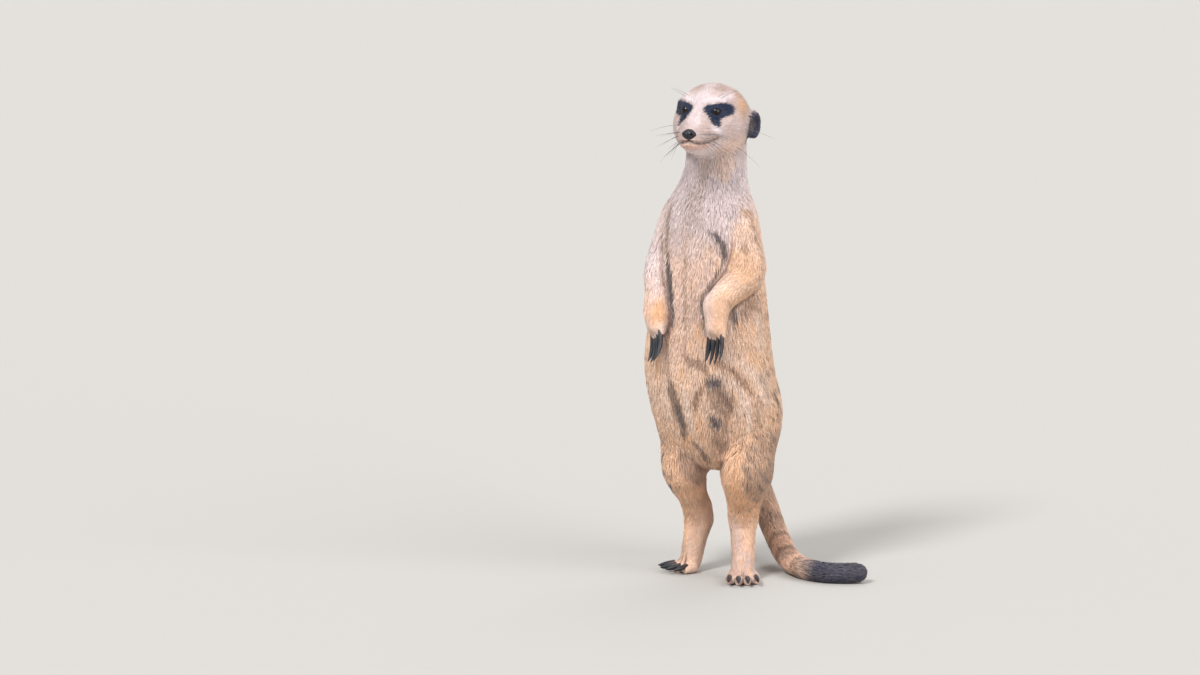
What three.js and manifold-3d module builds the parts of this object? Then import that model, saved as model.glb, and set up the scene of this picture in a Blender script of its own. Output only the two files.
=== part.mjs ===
// A life-size meerkat standing upright on its hind legs, its left forearm held across the belly and
// its tail brought round to its left as a third support. Each named part of the body is one solid,
// and its surface is the tips of the coat.
//
// Millimetres, +Z up. The animal faces -Y, its left side is +X, and the floor is z = 0.
//
// Flesh is described by fields: functions that are negative inside a form and about the distance to it
// outside. Fields of ovals and tapered limbs are blended, and a ring mesh is wrapped round each part's
// own axis, out to where its field is zero.

import * as THREE from "three";
import { mergeVertices } from "three/addons/utils/BufferGeometryUtils.js";
import Module from "manifold-3d";

const wasm = await Module();
wasm.setup();

// ---------------------------------------------------------------- driving dimensions

const GAP = 0.3; // clearance between neighbouring solids
const HEAD_CENTRE = [0.5, -4, 291.5];
const HEAD_LIFT = 8; // degrees, nose up
const HEAD_TURN = 3; // degrees, to the animal's left
const EYE = { side: 9.7, front: 19.7, up: 5.2, radius: 5 };
const EAR = { side: 23.8, back: 13, up: -2.5, thick: 4.8, deep: 6.6, tall: 9.4 };
const NOSE = { front: 41.4, up: -9, halfWidth: 4.5, halfDepth: 3.4, halfHeight: 3.6 };

// The trunk and neck, from the crotch up: height, middle (x, y), half width and half depth.
const GIRTHS = [
  { at: "crotch", z: 66, x: 3.2, y: 9, wide: 11, deep: 10 },
  { at: "seat", z: 71, x: 3, y: 9, wide: 23, deep: 21 },
  { at: "rump", z: 80, x: 2.4, y: 8, wide: 31.5, deep: 29 },
  { at: "hips", z: 93, x: 1.4, y: 5, wide: 38, deep: 34.6 },
  { at: "low belly", z: 112, x: 0.4, y: 0.8, wide: 41, deep: 37.2 },
  { at: "belly", z: 137, x: -2, y: -2.4, wide: 40.4, deep: 36.8 },
  { at: "waist", z: 167, x: -1.8, y: -2, wide: 37.4, deep: 33 },
  { at: "ribs", z: 198, x: -2.4, y: 0.8, wide: 33, deep: 30.4 },
  { at: "shoulders", z: 224, x: -3, y: 3, wide: 29.6, deep: 27 },
  { at: "collar", z: 239, x: -2.4, y: 3.8, wide: 25, deep: 23.6 },
  { at: "neck base", z: 250, x: -1, y: 3.6, wide: 21.2, deep: 20.8 },
  { at: "neck", z: 262, x: 0.8, y: 3, wide: 19, deep: 19 },
  { at: "nape", z: 276, x: 1.2, y: 2.2, wide: 18.6, deep: 18.8 },
  { at: "skull base", z: 290, x: 1, y: 0.6, wide: 17, deep: 17 },
];
const TRUNK_PARTS = [
  { name: "hips", low: 74, high: 108, rings: 6, roundStart: true },
  { name: "belly", low: 108, high: 168, rings: 6 },
  { name: "chest", low: 168, high: 244, rings: 8 },
];
const NECK = { low: 244, high: 287, rings: 6 };

// Joints of the limbs and how thick the limb is there, coat and all.
const ARMS = {
  left: {
    shoulder: { at: [20.6, -5.6, 225], r: 14.4 },
    elbow: { at: [29, -12.6, 196.5], r: 11.6 },
    wrist: { at: [18.4, -38.4, 180], r: 7.6 },
    knuckles: { at: [20, -42.6, 166], r: 5.2 },
    fingertips: [20.4, -43.8, 157],
    palm: [0.25, 1, 0.1],
  },
  right: {
    shoulder: { at: [-24.4, -1.6, 226], r: 13.4 },
    elbow: { at: [-30.2, -13, 193], r: 10.6 },
    wrist: { at: [-25, -32, 172], r: 7.6 },
    knuckles: { at: [-22.8, -36.6, 163.4], r: 5.2 },
    fingertips: [-21.6, -39, 154.8],
    palm: [0.55, 0.8, 0.1],
  },
};
const LEGS = {
  left: {
    hip: { at: [18.4, 9, 104], r: 22 },
    knee: { at: [29, -14, 70], r: 14.6 },
    hock: { at: [18.6, 5, 40], r: 8.6 },
    ball: { at: [26.8, -15.5, 6.6], r: 7.2 },
    toes: [34.2, -32.4, 2.6],
  },
  right: {
    hip: { at: [-14.4, 9, 104], r: 22 },
    knee: { at: [-17.4, -9, 69], r: 11.6 },
    hock: { at: [-14.4, 13, 35], r: 8 },
    ball: { at: [-16.8, 3.4, 6.6], r: 7.2 },
    toes: [-24.2, -6, 2.6],
  },
};
// Each thigh is parted from the hips by a plane that climbs from the crotch out to the flank.
const GROIN = { at: [3, 6, 64], apart: 1.2, climb: 42 }; // climb in degrees above level
const DIGITS = 4;
const FINGER = { spread: 3.3, root: 2.9, tip: 2.1 };
const TOE = { spread: 4.3, root: 3.7, tip: 3.1, splay: 1.35 };
const FINGER_CLAW = { length: 14.4, width: 1.3, height: 2, droop: 4 };
const TOE_CLAW = { length: 7.6, width: 1.2, height: 1.75, droop: 1.6 };

// The tail: its middle line from the rump to the tip, and its radius along it.
const TAIL_LINE = [
  [3, 25, 92],
  [2, 45, 73],
  [4, 60, 51],
  [11, 62, 31],
  [25, 46, 17],
  [42, 23, 9.2],
  [61, 6, 6.6],
  [81, 0, 6.2],
  [96, 6, 6.6],
];
const TAIL_RADII = { root: 12.5, body: 8.4, end: 6.9 };
const TAIL_LENGTHS = ["tail_root", "tail_middle", "tail_lower", "tail_end"];

// ---------------------------------------------------------------- fields

const vec = (list) => new THREE.Vector3(...list);
const { clamp, lerp, degToRad, smoothstep } = THREE.MathUtils;

/** An oval with its own three radii. */
const oval = (centre, radii) => {
  const [c, r] = [vec(centre), vec(radii)];
  return (p) => {
    const q = p.clone().sub(c).divide(r);
    const share = q.length();
    const slope = q.divide(r).length();
    return slope > 0 ? (share * (share - 1)) / slope : -Math.min(...radii);
  };
};

/** A round limb that tapers from one joint to the next. */
const taper = (from, fromRadius, to, toRadius) => {
  const [a, b] = [vec(from), vec(to)];
  const along = b.clone().sub(a);
  return (p) => {
    const t = clamp(p.clone().sub(a).dot(along) / along.lengthSq(), 0, 1);
    return p.distanceTo(a.clone().addScaledVector(along, t)) - lerp(fromRadius, toRadius, t);
  };
};

/** Several fields run together, with fillets about as wide as softness. */
const blend = (softness, ...fields) => (p) =>
  fields
    .map((field) => field(p))
    .reduce((a, b) => {
      const h = Math.max(softness - Math.abs(a - b), 0) / softness;
      return Math.min(a, b) - (h * h * softness) / 4;
    });

/** A field with another pressed out of it, with a soft rim. */
const hollow = (softness, field, tool) => {
  const both = blend(softness, (p) => -field(p), tool);
  return (p) => -both(p);
};

/** One measure of the girths at height z, on a smooth curve through all of them. */
function girthAt(z, measure) {
  const last = GIRTHS.length - 1;
  const i = clamp(GIRTHS.findIndex((g) => g.z > z) - 1, 0, last - 1);
  const row = z >= GIRTHS[last].z ? last - 1 : i;
  const slope = (n) => {
    const [a, b] = [GIRTHS[Math.max(n - 1, 0)], GIRTHS[Math.min(n + 1, last)]];
    return (b[measure] - a[measure]) / (b.z - a.z);
  };
  const [low, high] = [GIRTHS[row], GIRTHS[row + 1]];
  const span = high.z - low.z;
  const t = clamp((z - low.z) / span, 0, 1);
  const [t2, t3] = [t * t, t * t * t];
  return (
    low[measure] * (2 * t3 - 3 * t2 + 1) +
    slope(row) * span * (t3 - 2 * t2 + t) +
    high[measure] * (3 * t2 - 2 * t3) +
    slope(row + 1) * span * (t3 - t2)
  );
}

/** The upright column of trunk and neck, slightly squarer than an ellipse in section. */
const column = (p) => {
  const [wide, deep] = [girthAt(p.z, "wide"), girthAt(p.z, "deep")];
  const squareness = 2.2;
  const share =
    (Math.abs((p.x - girthAt(p.z, "x")) / wide) ** squareness +
      Math.abs((p.y - girthAt(p.z, "y")) / deep) ** squareness) **
    (1 / squareness);
  return Math.max((share - 1) * Math.min(wide, deep), GIRTHS[0].z - p.z);
};

// ---------------------------------------------------------------- meshes

/** A closed mesh as a manifold solid. */
const solidOf = (positions, triangles) =>
  new wasm.Manifold(
    new wasm.Mesh({
      numProp: 3,
      vertProperties: Float32Array.from(positions),
      triVerts: Uint32Array.from(triangles),
    }),
  );

/** A three.js geometry as a manifold solid. */
function fromGeometry(geometry) {
  const bare = new THREE.BufferGeometry();
  bare.setAttribute("position", geometry.getAttribute("position"));
  if (geometry.index) bare.setIndex(geometry.index);
  const merged = mergeVertices(bare, 1e-3);
  return solidOf(merged.getAttribute("position").array, merged.index.array);
}

/** Rings of points, each with the same number of points, closed at both ends by their middles. */
function skinRings(rings) {
  const sides = rings[0].length;
  const positions = [];
  const triangles = [];
  rings.flat().forEach((p) => positions.push(p.x, p.y, p.z));
  for (let r = 0; r < rings.length - 1; r++)
    for (let s = 0; s < sides; s++) {
      const [a, b] = [r * sides + s, r * sides + ((s + 1) % sides)];
      triangles.push(a, b, b + sides, a, b + sides, a + sides);
    }
  const cap = (start, forward) => {
    const ring = rings[start / sides];
    const middle = ring.reduce((sum, p) => sum.add(p), new THREE.Vector3()).divideScalar(sides);
    const hub = positions.length / 3;
    positions.push(middle.x, middle.y, middle.z);
    for (let s = 0; s < sides; s++) {
      const [a, b] = [start + s, start + ((s + 1) % sides)];
      triangles.push(...(forward ? [a, b, hub] : [b, a, hub]));
    }
  };
  cap(0, false);
  cap((rings.length - 1) * sides, true);
  return solidOf(positions, triangles);
}

/** How far from an inner point, along a direction, a field first reaches zero. */
function reach(field, from, direction, limit) {
  const at = (r) => field(from.clone().addScaledVector(direction, r));
  const step = 1;
  let inside = 0;
  while (inside + step < limit && at(inside + step) < 0) inside += step;
  let outside = inside + step;
  for (let halving = 0; halving < 14; halving++) {
    const middle = (inside + outside) / 2;
    if (at(middle) < 0) inside = middle;
    else outside = middle;
  }
  return inside;
}

const ROUND_END_RINGS = 3;
const FRAME_STEPS = 60;
const [SIDEWAYS, BACKWARDS, UP] = [[1, 0, 0], [0, 1, 0], [0, 0, 1]].map(vec);

/**
 * A ring mesh round a path, out to a field's surface. An end is cut flat, or rounded off by rays that
 * turn from sideways to straight on. Rings stand square to the path, or lie level. grow makes it that
 * much fatter, to cut clearance in a neighbour.
 */
function wrap(field, path, options) {
  const { from = 0, to = 1, rings, sides, roundStart, roundEnd, level, grow = 0, limit = 70 } = options;
  const { normals, binormals, tangents } = path.computeFrenetFrames(FRAME_STEPS);
  const ringAt = (t, lean) => {
    const centre = path.getPointAt(t);
    const step = Math.round(t * FRAME_STEPS);
    const ahead = level ? UP : tangents[step];
    const side = level ? SIDEWAYS : normals[step];
    const other = level ? BACKWARDS : binormals[step];
    return Array.from({ length: sides }, (_, s) => {
      const turn = (2 * Math.PI * s) / sides;
      const ray = side
        .clone()
        .multiplyScalar(Math.cos(turn) * Math.cos(lean))
        .addScaledVector(other, Math.sin(turn) * Math.cos(lean))
        .addScaledVector(ahead, Math.sin(lean));
      return centre.clone().addScaledVector(ray, reach(field, centre, ray, limit) + grow);
    });
  };
  const leans = Array.from({ length: ROUND_END_RINGS }, (_, n) => {
    const share = (n + 1) / (ROUND_END_RINGS + 0.35);
    return (share * Math.PI) / 2;
  });
  const made = [];
  if (roundStart) leans.toReversed().forEach((lean) => made.push(ringAt(from, -lean)));
  for (let r = 0; r <= rings; r++) made.push(ringAt(lerp(from, to, r / rings), 0));
  if (roundEnd) leans.forEach((lean) => made.push(ringAt(to, lean)));
  return skinRings(made);
}

const curve = (points) => new THREE.CatmullRomCurve3(points.map(vec), false, "centripetal");

/** The largest body of a solid that a cut may have left in pieces. */
function largest(solid) {
  const bodies = solid.decompose();
  return bodies.reduce((a, b) => (b.volume() > a.volume() ? b : a));
}

/** A block that fills everything below the floor. */
const underFloor = fromGeometry(new THREE.BoxGeometry(400, 400, 100).translate(0, 0, -50));

// ---------------------------------------------------------------- trunk and neck

const SIDES = ["left", "right"];
const hindquarters = SIDES.map((side) => {
  const { hip, knee } = LEGS[side];
  return taper(hip.at, hip.r, knee.at, knee.r - 1.5);
});
const shoulderMuscles = SIDES.map((side) => {
  const [x, y, z] = ARMS[side].shoulder.at;
  return oval([x * 0.72, y + 3, z - 2], [14.5, 18, 23]);
});
const trunkField = blend(
  8,
  blend(11, column, ...shoulderMuscles),
  ...hindquarters,
  taper([3, 20, 92], 15, [3, 34, 82], 9),
);

/** The trunk's own middle line between two heights. */
const trunkPath = (low, high) =>
  curve(
    Array.from({ length: 9 }, (_, n) => {
      const z = lerp(low, high, n / 8);
      return [girthAt(z, "x"), girthAt(z, "y"), z];
    }),
  );

const trunkPart = ({ low, high, rings, roundStart }, room = false) => {
  const inset = room ? -GAP : GAP / 2;
  const path = trunkPath(low + (roundStart ? 0 : inset), high - inset);
  return wrap(trunkField, path, { rings, sides: 30, level: true, roundStart, grow: room ? GAP : 0 });
};

/** What is left of a solid above (facing 1) or below (facing -1) the plane that parts off a thigh. */
function partAtGroin(solid, side, facing) {
  const sign = side === "left" ? 1 : -1;
  const climb = degToRad(GROIN.climb);
  const normal = new THREE.Vector3(-sign * Math.sin(climb), 0, Math.cos(climb)).multiplyScalar(facing);
  const edge = vec(GROIN.at).add(new THREE.Vector3(sign * GROIN.apart, 0, 0));
  return solid.trimByPlane(normal.toArray(), normal.dot(edge) + GAP / 2);
}

const [wholeHips, belly, chest] = TRUNK_PARTS.map((part) => trunkPart(part));
const hips = largest(SIDES.reduce((solid, side) => partAtGroin(solid, side, 1), wholeHips));
const trunkRoom = TRUNK_PARTS.map((part) => trunkPart(part, true)).reduce((a, b) => a.add(b));

// ---------------------------------------------------------------- head

const headPlace = new THREE.Matrix4()
  .makeTranslation(vec(HEAD_CENTRE))
  .multiply(new THREE.Matrix4().makeRotationZ(degToRad(HEAD_TURN)))
  .multiply(new THREE.Matrix4().makeRotationX(degToRad(-HEAD_LIFT)));
const inHead = (list) => vec(list).applyMatrix4(headPlace).toArray();
const mirrored = (make) => [1, -1].map(make);

// Written in the head's own frame: its origin in the middle of the braincase, the nose towards -Y.
const skull = blend(
  9,
  oval([0, 4, 2.4], [23, 24.5, 20.6]),
  oval([0, -13, 2.4], [17, 15.5, 13.8]),
);
const cheeks = mirrored((s) => oval([s * 10.8, 1.5, -7.5], [11.6, 16, 12.8]));
const muzzle = blend(
  5,
  taper([0, -14, -6.5], 11.4, [0, -34.4, -10.8], 6.2),
  taper([0, -12, 1], 8.6, [0, -36.4, -7.8], 4.7),
  ...mirrored((s) => oval([s * 4, -33, -12.4], [4.9, 7.6, 4.2])),
);
const jaw = taper([0, -5, -13.5], 10, [0, -31, -16.2], 4);
const snoutSides = mirrored((s) => taper([s * 9, -6, -6.8], 12, [s * 4, -27, -10.4], 7));
const brows = mirrored((s) => oval([s * 10.4, -15.8, 9.8], [7.6, 6.2, 3.8]));
const sockets = mirrored((s) =>
  oval([s * (EYE.side + 1.8), -EYE.front - 4, EYE.up - 0.4], [6.6, 5, 5.4]),
);
const headField = sockets.reduce(
  (field, socket) => hollow(5, field, socket),
  blend(5, blend(7, skull, ...cheeks, muzzle, ...snoutSides, jaw), ...brows),
);

const headPath = curve([
  [0, 13, -1],
  [0, 2, -2],
  [0, -12, -4],
  [0, -26, -8.6],
  [0, -34, -11],
]);
const intoHead = (solid) => solid.transform(headPlace.toArray());
const headShape = (rings, sides, grow = 0) =>
  wrap(headField, headPath, { rings, sides, grow, roundStart: true, roundEnd: true });
const headRoom = intoHead(headShape(10, 20, 3 * GAP)); // coarse, so grown by more than the gap

/** A smooth ball or oval in the head's frame, turned about its own middle. */
function ovalSolid(centre, radii, [columns, rows], turn = [0, 0, 0]) {
  const ball = new THREE.SphereGeometry(1, columns, rows).rotateX(Math.PI / 2);
  ball.scale(...radii);
  ball.applyMatrix4(new THREE.Matrix4().makeRotationFromEuler(new THREE.Euler(...turn)));
  ball.translate(...centre);
  return fromGeometry(ball);
}

const eyeAt = (s) => [s * EYE.side, -EYE.front, EYE.up];
const eyeSolid = (s, extra = 0) => ovalSolid(eyeAt(s), Array(3).fill(EYE.radius + extra), [10, 7]);

const noseRadii = (extra) => [NOSE.halfWidth, NOSE.halfDepth, NOSE.halfHeight].map((r) => r + extra);
const noseSolid = (extra = 0) => ovalSolid([0, -NOSE.front, NOSE.up], noseRadii(extra), [10, 7]);

const cutHead = [eyeSolid(1, GAP), eyeSolid(-1, GAP), noseSolid(GAP)].reduce(
  (solid, tool) => solid.subtract(tool),
  headShape(15, 26),
);
const head = intoHead(largest(cutHead));

/** A cupped, crescent-edged ear that hugs the side of the head and opens forwards. */
function earSolid(s) {
  const centre = [s * EAR.side, EAR.back, EAR.up];
  const turn = [0, 0, s * 0.42];
  const shell = ovalSolid(centre, [EAR.thick, EAR.deep, EAR.tall], [10, 8], turn);
  const cup = [s * (EAR.side + 3.9), EAR.back - 4.6, EAR.up - 0.6];
  const bowl = ovalSolid(cup, [EAR.thick, EAR.deep - 1.4, EAR.tall - 2.6], [8, 6], turn);
  return intoHead(shell.subtract(bowl));
}

const neck = largest(trunkPart(NECK).subtract(headRoom));
const ears = mirrored((s) => largest(earSolid(s).subtract(headRoom)));

// ---------------------------------------------------------------- limbs

/** A field through a chain of joints. */
const chain = (softness, ...joints) =>
  blend(
    softness,
    ...joints.slice(1).map((joint, n) => taper(joints[n].at, joints[n].r, joint.at, joint.r)),
  );

/**
 * The parts of a limb, one between each two joints. Each is wrapped round its own straight axis, out to
 * the field of the whole limb, and mitred at the joints that it shares. The free ends are round.
 */
function limbParts(field, joints, { rings, sides, limit }) {
  const points = joints.map((joint) => vec(joint.at));
  const steps = points.slice(1).map((point, n) => point.clone().sub(points[n]).normalize());
  const mitred = (solid, n, sign) => {
    const normal = steps[n - 1].clone().add(steps[n]).normalize().multiplyScalar(sign);
    return solid.trimByPlane(normal.toArray(), normal.dot(points[n]) + GAP / 2);
  };
  return steps.map((step, n) => {
    const [first, final] = [n === 0, n === steps.length - 1];
    const overlap = (joint) => joint.r * 0.7;
    const start = points[n].clone().addScaledVector(step, first ? 0 : -overlap(joints[n]));
    const end = points[n + 1].clone().addScaledVector(step, final ? 0 : overlap(joints[n + 1]));
    const ends = { roundStart: first, roundEnd: final };
    let solid = wrap(field, new THREE.LineCurve3(start, end), { rings, sides, limit, ...ends });
    if (!first) solid = mitred(solid, n, 1);
    if (!final) solid = mitred(solid, n + 1, -1);
    return largest(solid);
  });
}

/** A claw: a curved cone, deeper than it is wide, from a root along a direction. */
function clawSolid(root, direction, { length, width, height, droop }, down) {
  const ahead = direction.clone().normalize();
  const side = ahead.clone().cross(down).normalize();
  const below = side.clone().cross(ahead).negate().normalize();
  const corners = 5;
  const rings = [0, 0.4, 0.76, 1].map((t) => {
    const thin = Math.sqrt(1 - t * 0.985);
    const centre = root
      .clone()
      .addScaledVector(ahead, length * t)
      .addScaledVector(below, droop * t * t);
    return Array.from({ length: corners }, (_, s) => {
      const turn = (2 * Math.PI * s) / corners;
      return centre
        .clone()
        .addScaledVector(side, Math.cos(turn) * width * thin)
        .addScaledVector(below, Math.sin(turn) * height * thin);
    });
  });
  const made = skinRings(rings);
  return made.volume() > 0 ? made : skinRings(rings.map((ring) => ring.toReversed()));
}

/** A finger or toe: a tapered solid, flat where it meets its claw. */
function digitSolid(from, fromRadius, to, toRadius) {
  const field = taper(from.toArray(), fromRadius, to.toArray(), toRadius);
  return wrap(field, new THREE.LineCurve3(from, to), { rings: 1, sides: 7, limit: 9 });
}

/** The two ends of each digit, fanned evenly about the foot's middle line. */
function digitLines(from, to, across, spread, splay) {
  return Array.from({ length: DIGITS }, (_, n) => {
    const place = n - (DIGITS - 1) / 2;
    const short = Math.abs(place) > 1 ? 0.82 : 1;
    const start = from.clone().addScaledVector(across, place * spread);
    const end = from.clone().lerp(to, short).addScaledVector(across, place * spread * splay);
    return [start, end];
  });
}

/** One arm: upper arm, forearm, hand with fingers, and four long claws. */
function armParts(side) {
  const { shoulder, elbow, wrist, knuckles, fingertips, palm } = ARMS[side];
  const palmFaces = vec(palm).normalize();
  const field = blend(
    4,
    chain(5, shoulder, elbow, wrist, knuckles),
    taper(wrist.at, 6.4, knuckles.at, 6.6),
  );
  const joints = [shoulder, elbow, wrist, knuckles];
  const [upper, lower, palmSolid] = limbParts(field, joints, { rings: 5, sides: 12, limit: 20 });

  const across = vec(fingertips).sub(vec(wrist.at)).cross(palmFaces).normalize();
  const lines = digitLines(vec(knuckles.at), vec(fingertips), across, FINGER.spread, 1.05);
  const fingers = lines.map(([a, b]) => digitSolid(a, FINGER.root, b, FINGER.tip));
  const claws = lines.map(([a, b]) => {
    const along = b.clone().sub(a).normalize();
    return clawSolid(b.clone().addScaledVector(along, GAP), along, FINGER_CLAW, palmFaces);
  });
  const hand = fingers.reduce((solid, finger) => solid.add(finger), palmSolid);
  return { upper, lower, hand, claws };
}

/** One leg: thigh, shank, foot with toes flat on the floor, and four claws. */
function legParts(side) {
  const { hip, knee, hock, ball, toes } = LEGS[side];
  const calf = { at: vec(knee.at).lerp(vec(hock.at), 0.3).toArray(), r: knee.r - 2 };
  const leg = chain(9, hip, knee, calf, hock, ball);
  const joints = [hip, knee, hock, ball];
  const mesh = { rings: 5, sides: 14, limit: 36 };
  const [, shank, sole] = limbParts(leg, joints, mesh);
  const [wholeThigh] = limbParts(blend(7, leg, trunkField), joints, mesh);
  const thigh = partAtGroin(wholeThigh, side, -1);

  const down = new THREE.Vector3(0, 0, -1);
  const across = vec(toes).sub(vec(ball.at)).cross(down).normalize();
  const root = vec(ball.at).setZ(TOE.root);
  const lines = digitLines(root, vec(toes), across, TOE.spread, TOE.splay);
  const toeSolids = lines.map(([a, b]) => digitSolid(a, TOE.root, b, TOE.tip));
  const claws = lines.map(([a, b]) => {
    const along = b.clone().sub(a).normalize();
    return clawSolid(b.clone().addScaledVector(along, GAP), along, TOE_CLAW, down);
  });
  const foot = toeSolids.reduce((solid, toe) => solid.add(toe), sole).subtract(underFloor);
  return { thigh, shank, foot, claws };
}

// ---------------------------------------------------------------- tail

const tailPath = curve(TAIL_LINE);
const tailSteps = 160;
const tailPoints = tailPath.getSpacedPoints(tailSteps);

/** The tail's radius at a share of its length, flared towards the rump. */
function tailRadius(share) {
  const { root, body, end } = TAIL_RADII;
  const flare = (1 - smoothstep(share, 0, 0.32)) * (root - body);
  return lerp(body, end, smoothstep(share, 0.3, 1)) + flare;
}

/** The round tail about its nearest point on the middle line. */
function tailField(p) {
  let nearest = 0;
  for (let n = 1; n <= tailSteps; n++)
    if (p.distanceToSquared(tailPoints[n]) < p.distanceToSquared(tailPoints[nearest])) nearest = n;
  return p.distanceTo(tailPoints[nearest]) - tailRadius(nearest / tailSteps);
}

const tailParts = TAIL_LENGTHS.map((name, n) => {
  const count = TAIL_LENGTHS.length;
  const half = GAP / 2 / tailPath.getLength();
  const solid = wrap(tailField, tailPath, {
    from: n / count + (n ? half : 0),
    to: (n + 1) / count - (n < count - 1 ? half : 0),
    rings: 6,
    sides: 10,
    limit: 18,
    roundEnd: n === count - 1,
  });
  return [name, largest(solid.subtract(trunkRoom).subtract(underFloor))];
});

// ---------------------------------------------------------------- the animal

const FINISHES = {
  fawn: { color: "#c9a27c", roughness: 0.9 },
  pale: { color: "#ddd2cd", roughness: 0.9 },
  rust: { color: "#c98d57", roughness: 0.9 },
  dark: { color: "#262a33", roughness: 0.8 },
  eye: { color: "#1c120c", roughness: 0.1 },
  nose: { color: "#1d1f26", roughness: 0.45 },
  claw: { color: "#20222a", roughness: 0.4 },
};

/** A solid as a named mesh in its own finish. */
function meshOf(name, solid, finish) {
  const { vertProperties, triVerts, numProp } = solid.getMesh();
  const count = vertProperties.length / numProp;
  const positions = new Float32Array(count * 3);
  for (let n = 0; n < count; n++)
    positions.set(vertProperties.subarray(n * numProp, n * numProp + 3), n * 3);
  const geometry = new THREE.BufferGeometry();
  geometry.setAttribute("position", new THREE.BufferAttribute(positions, 3));
  geometry.setIndex(new THREE.BufferAttribute(triVerts, 1));
  geometry.computeVertexNormals();
  const mesh = new THREE.Mesh(geometry, new THREE.MeshStandardMaterial(FINISHES[finish]));
  mesh.name = name;
  return mesh;
}

const meerkat = new THREE.Group();
const add = (name, solid, finish) => meerkat.add(meshOf(name, solid, finish));

add("head", head, "pale");
add("nose", intoHead(noseSolid()), "nose");
add("neck", neck, "pale");
add("chest", chest, "pale");
add("belly", belly, "fawn");
add("hips", hips, "rust");
tailParts.forEach(([name, solid]) => add(name, solid, name === "tail_end" ? "dark" : "rust"));

SIDES.forEach((side, n) => {
  add(`eye_${side}`, intoHead(eyeSolid(n ? -1 : 1)), "eye");
  add(`ear_${side}`, ears[n], "dark");

  const arm = armParts(side);
  add(`upper_arm_${side}`, largest(arm.upper.subtract(trunkRoom)), "fawn");
  add(`forearm_${side}`, largest(arm.lower.subtract(trunkRoom)), "fawn");
  add(`hand_${side}`, largest(arm.hand.subtract(trunkRoom)), "pale");
  arm.claws.forEach((claw, c) => add(`claw_hand_${side}_${c + 1}`, claw, "claw"));

  const leg = legParts(side);
  add(`thigh_${side}`, largest(leg.thigh), "rust");
  add(`shank_${side}`, leg.shank, "rust");
  add(`foot_${side}`, largest(leg.foot), "pale");
  leg.claws.forEach((claw, c) => add(`claw_foot_${side}_${c + 1}`, claw, "claw"));
});

// The part's origin is on the floor, under the middle of the whole animal.
const bounds = new THREE.Box3().setFromObject(meerkat);
const middle = bounds.getCenter(new THREE.Vector3());
meerkat.position.set(-middle.x, -middle.y, -bounds.min.z);

export default meerkat;
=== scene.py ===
"""A life-size standing meerkat, finished as a museum model.

One skin covers the flesh, a coat of short tufts lies over it, and the eyes, nose pad, claws and whiskers are
pieces of their own. Points are worked out in millimetres and turned to metres where a mesh is written.
"""

import logging
import math
from collections.abc import Callable, Iterable
from dataclasses import astuple, dataclass, field
from enum import Enum

import bmesh
import bpy
import numpy as np
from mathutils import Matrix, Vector
from mathutils.bvhtree import BVHTree


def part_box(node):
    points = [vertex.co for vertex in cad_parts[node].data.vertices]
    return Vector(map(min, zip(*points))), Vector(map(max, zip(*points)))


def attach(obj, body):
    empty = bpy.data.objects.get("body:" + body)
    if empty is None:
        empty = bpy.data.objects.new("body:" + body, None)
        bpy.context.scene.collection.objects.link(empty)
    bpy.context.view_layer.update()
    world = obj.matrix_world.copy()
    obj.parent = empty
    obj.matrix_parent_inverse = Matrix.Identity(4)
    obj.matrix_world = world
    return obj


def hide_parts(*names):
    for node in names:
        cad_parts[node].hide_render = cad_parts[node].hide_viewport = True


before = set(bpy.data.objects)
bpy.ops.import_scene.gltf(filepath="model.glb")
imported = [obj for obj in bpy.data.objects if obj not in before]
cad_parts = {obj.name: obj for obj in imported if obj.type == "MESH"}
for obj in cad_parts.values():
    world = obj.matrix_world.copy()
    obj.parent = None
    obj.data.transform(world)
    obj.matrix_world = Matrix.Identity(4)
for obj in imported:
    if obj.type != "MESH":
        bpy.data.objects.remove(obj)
LOG = logging.getLogger("meerkat")
MM = 0.001
SEED = 20
SIDES = ("left", "right")
Array = np.ndarray
Form = tuple[Array, Array]  # points in millimetres, and triangles
Stretch = tuple[tuple[float, float], tuple[float, float]]  # heights where it starts, and where it ends


# ---- small sums


def ease(low: float, high: float, values: Array) -> Array:
    """Rise smoothly from 0 to 1.

    Args:
        low: Value where the rise starts.
        high: Value where it ends; a high under low gives a fall.
        values: Numbers to look up.

    Returns:
        An array of shares from 0 to 1.
    """
    share = np.clip((values - low) / (high - low), 0.0, 1.0)
    return share * share * (3.0 - 2.0 * share)


def between(values: Array, rise: tuple[float, float], fall: tuple[float, float]) -> Array:
    """Rise from 0 to 1 over one span of values, and fall back to 0 over a later one."""
    return ease(*rise, values) * (1 - ease(*fall, values))


def bell(distance: Array, width: float) -> Array:
    """Give 1 at no distance and fall off smoothly over about one width."""
    return np.exp(-((distance / width) ** 2))


def unit(vectors: Array) -> Array:
    """Scale each vector to length 1."""
    return vectors / np.maximum(np.linalg.norm(vectors, axis=-1, keepdims=True), 1e-9)


def heading(turn: float, lift: float) -> Array:
    """The direction at a number of degrees round from the front and up."""
    a, e = math.radians(turn), math.radians(lift)
    return np.array([math.sin(a) * math.cos(e), -math.cos(a) * math.cos(e), math.sin(e)])


def bands(run: Array, spacing: float, low: float, high: float = 0.8) -> Array:
    """Mark even bands along a run, from where the wave between them passes low to where it passes high."""
    return ease(low, high, np.cos(2 * math.pi * run / spacing))


def oval(a: Array, b: Array, centre: tuple[float, float], half: tuple[float, float]) -> Array:
    """How far places are from the middle of an oval with these half sizes, where 1 is its edge."""
    return np.hypot((a - centre[0]) / half[0], (b - centre[1]) / half[1])


def stretches(line: Array) -> Array:
    """The length of each straight stretch of a line."""
    return np.linalg.norm(np.diff(line, axis=0), axis=1)


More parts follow.
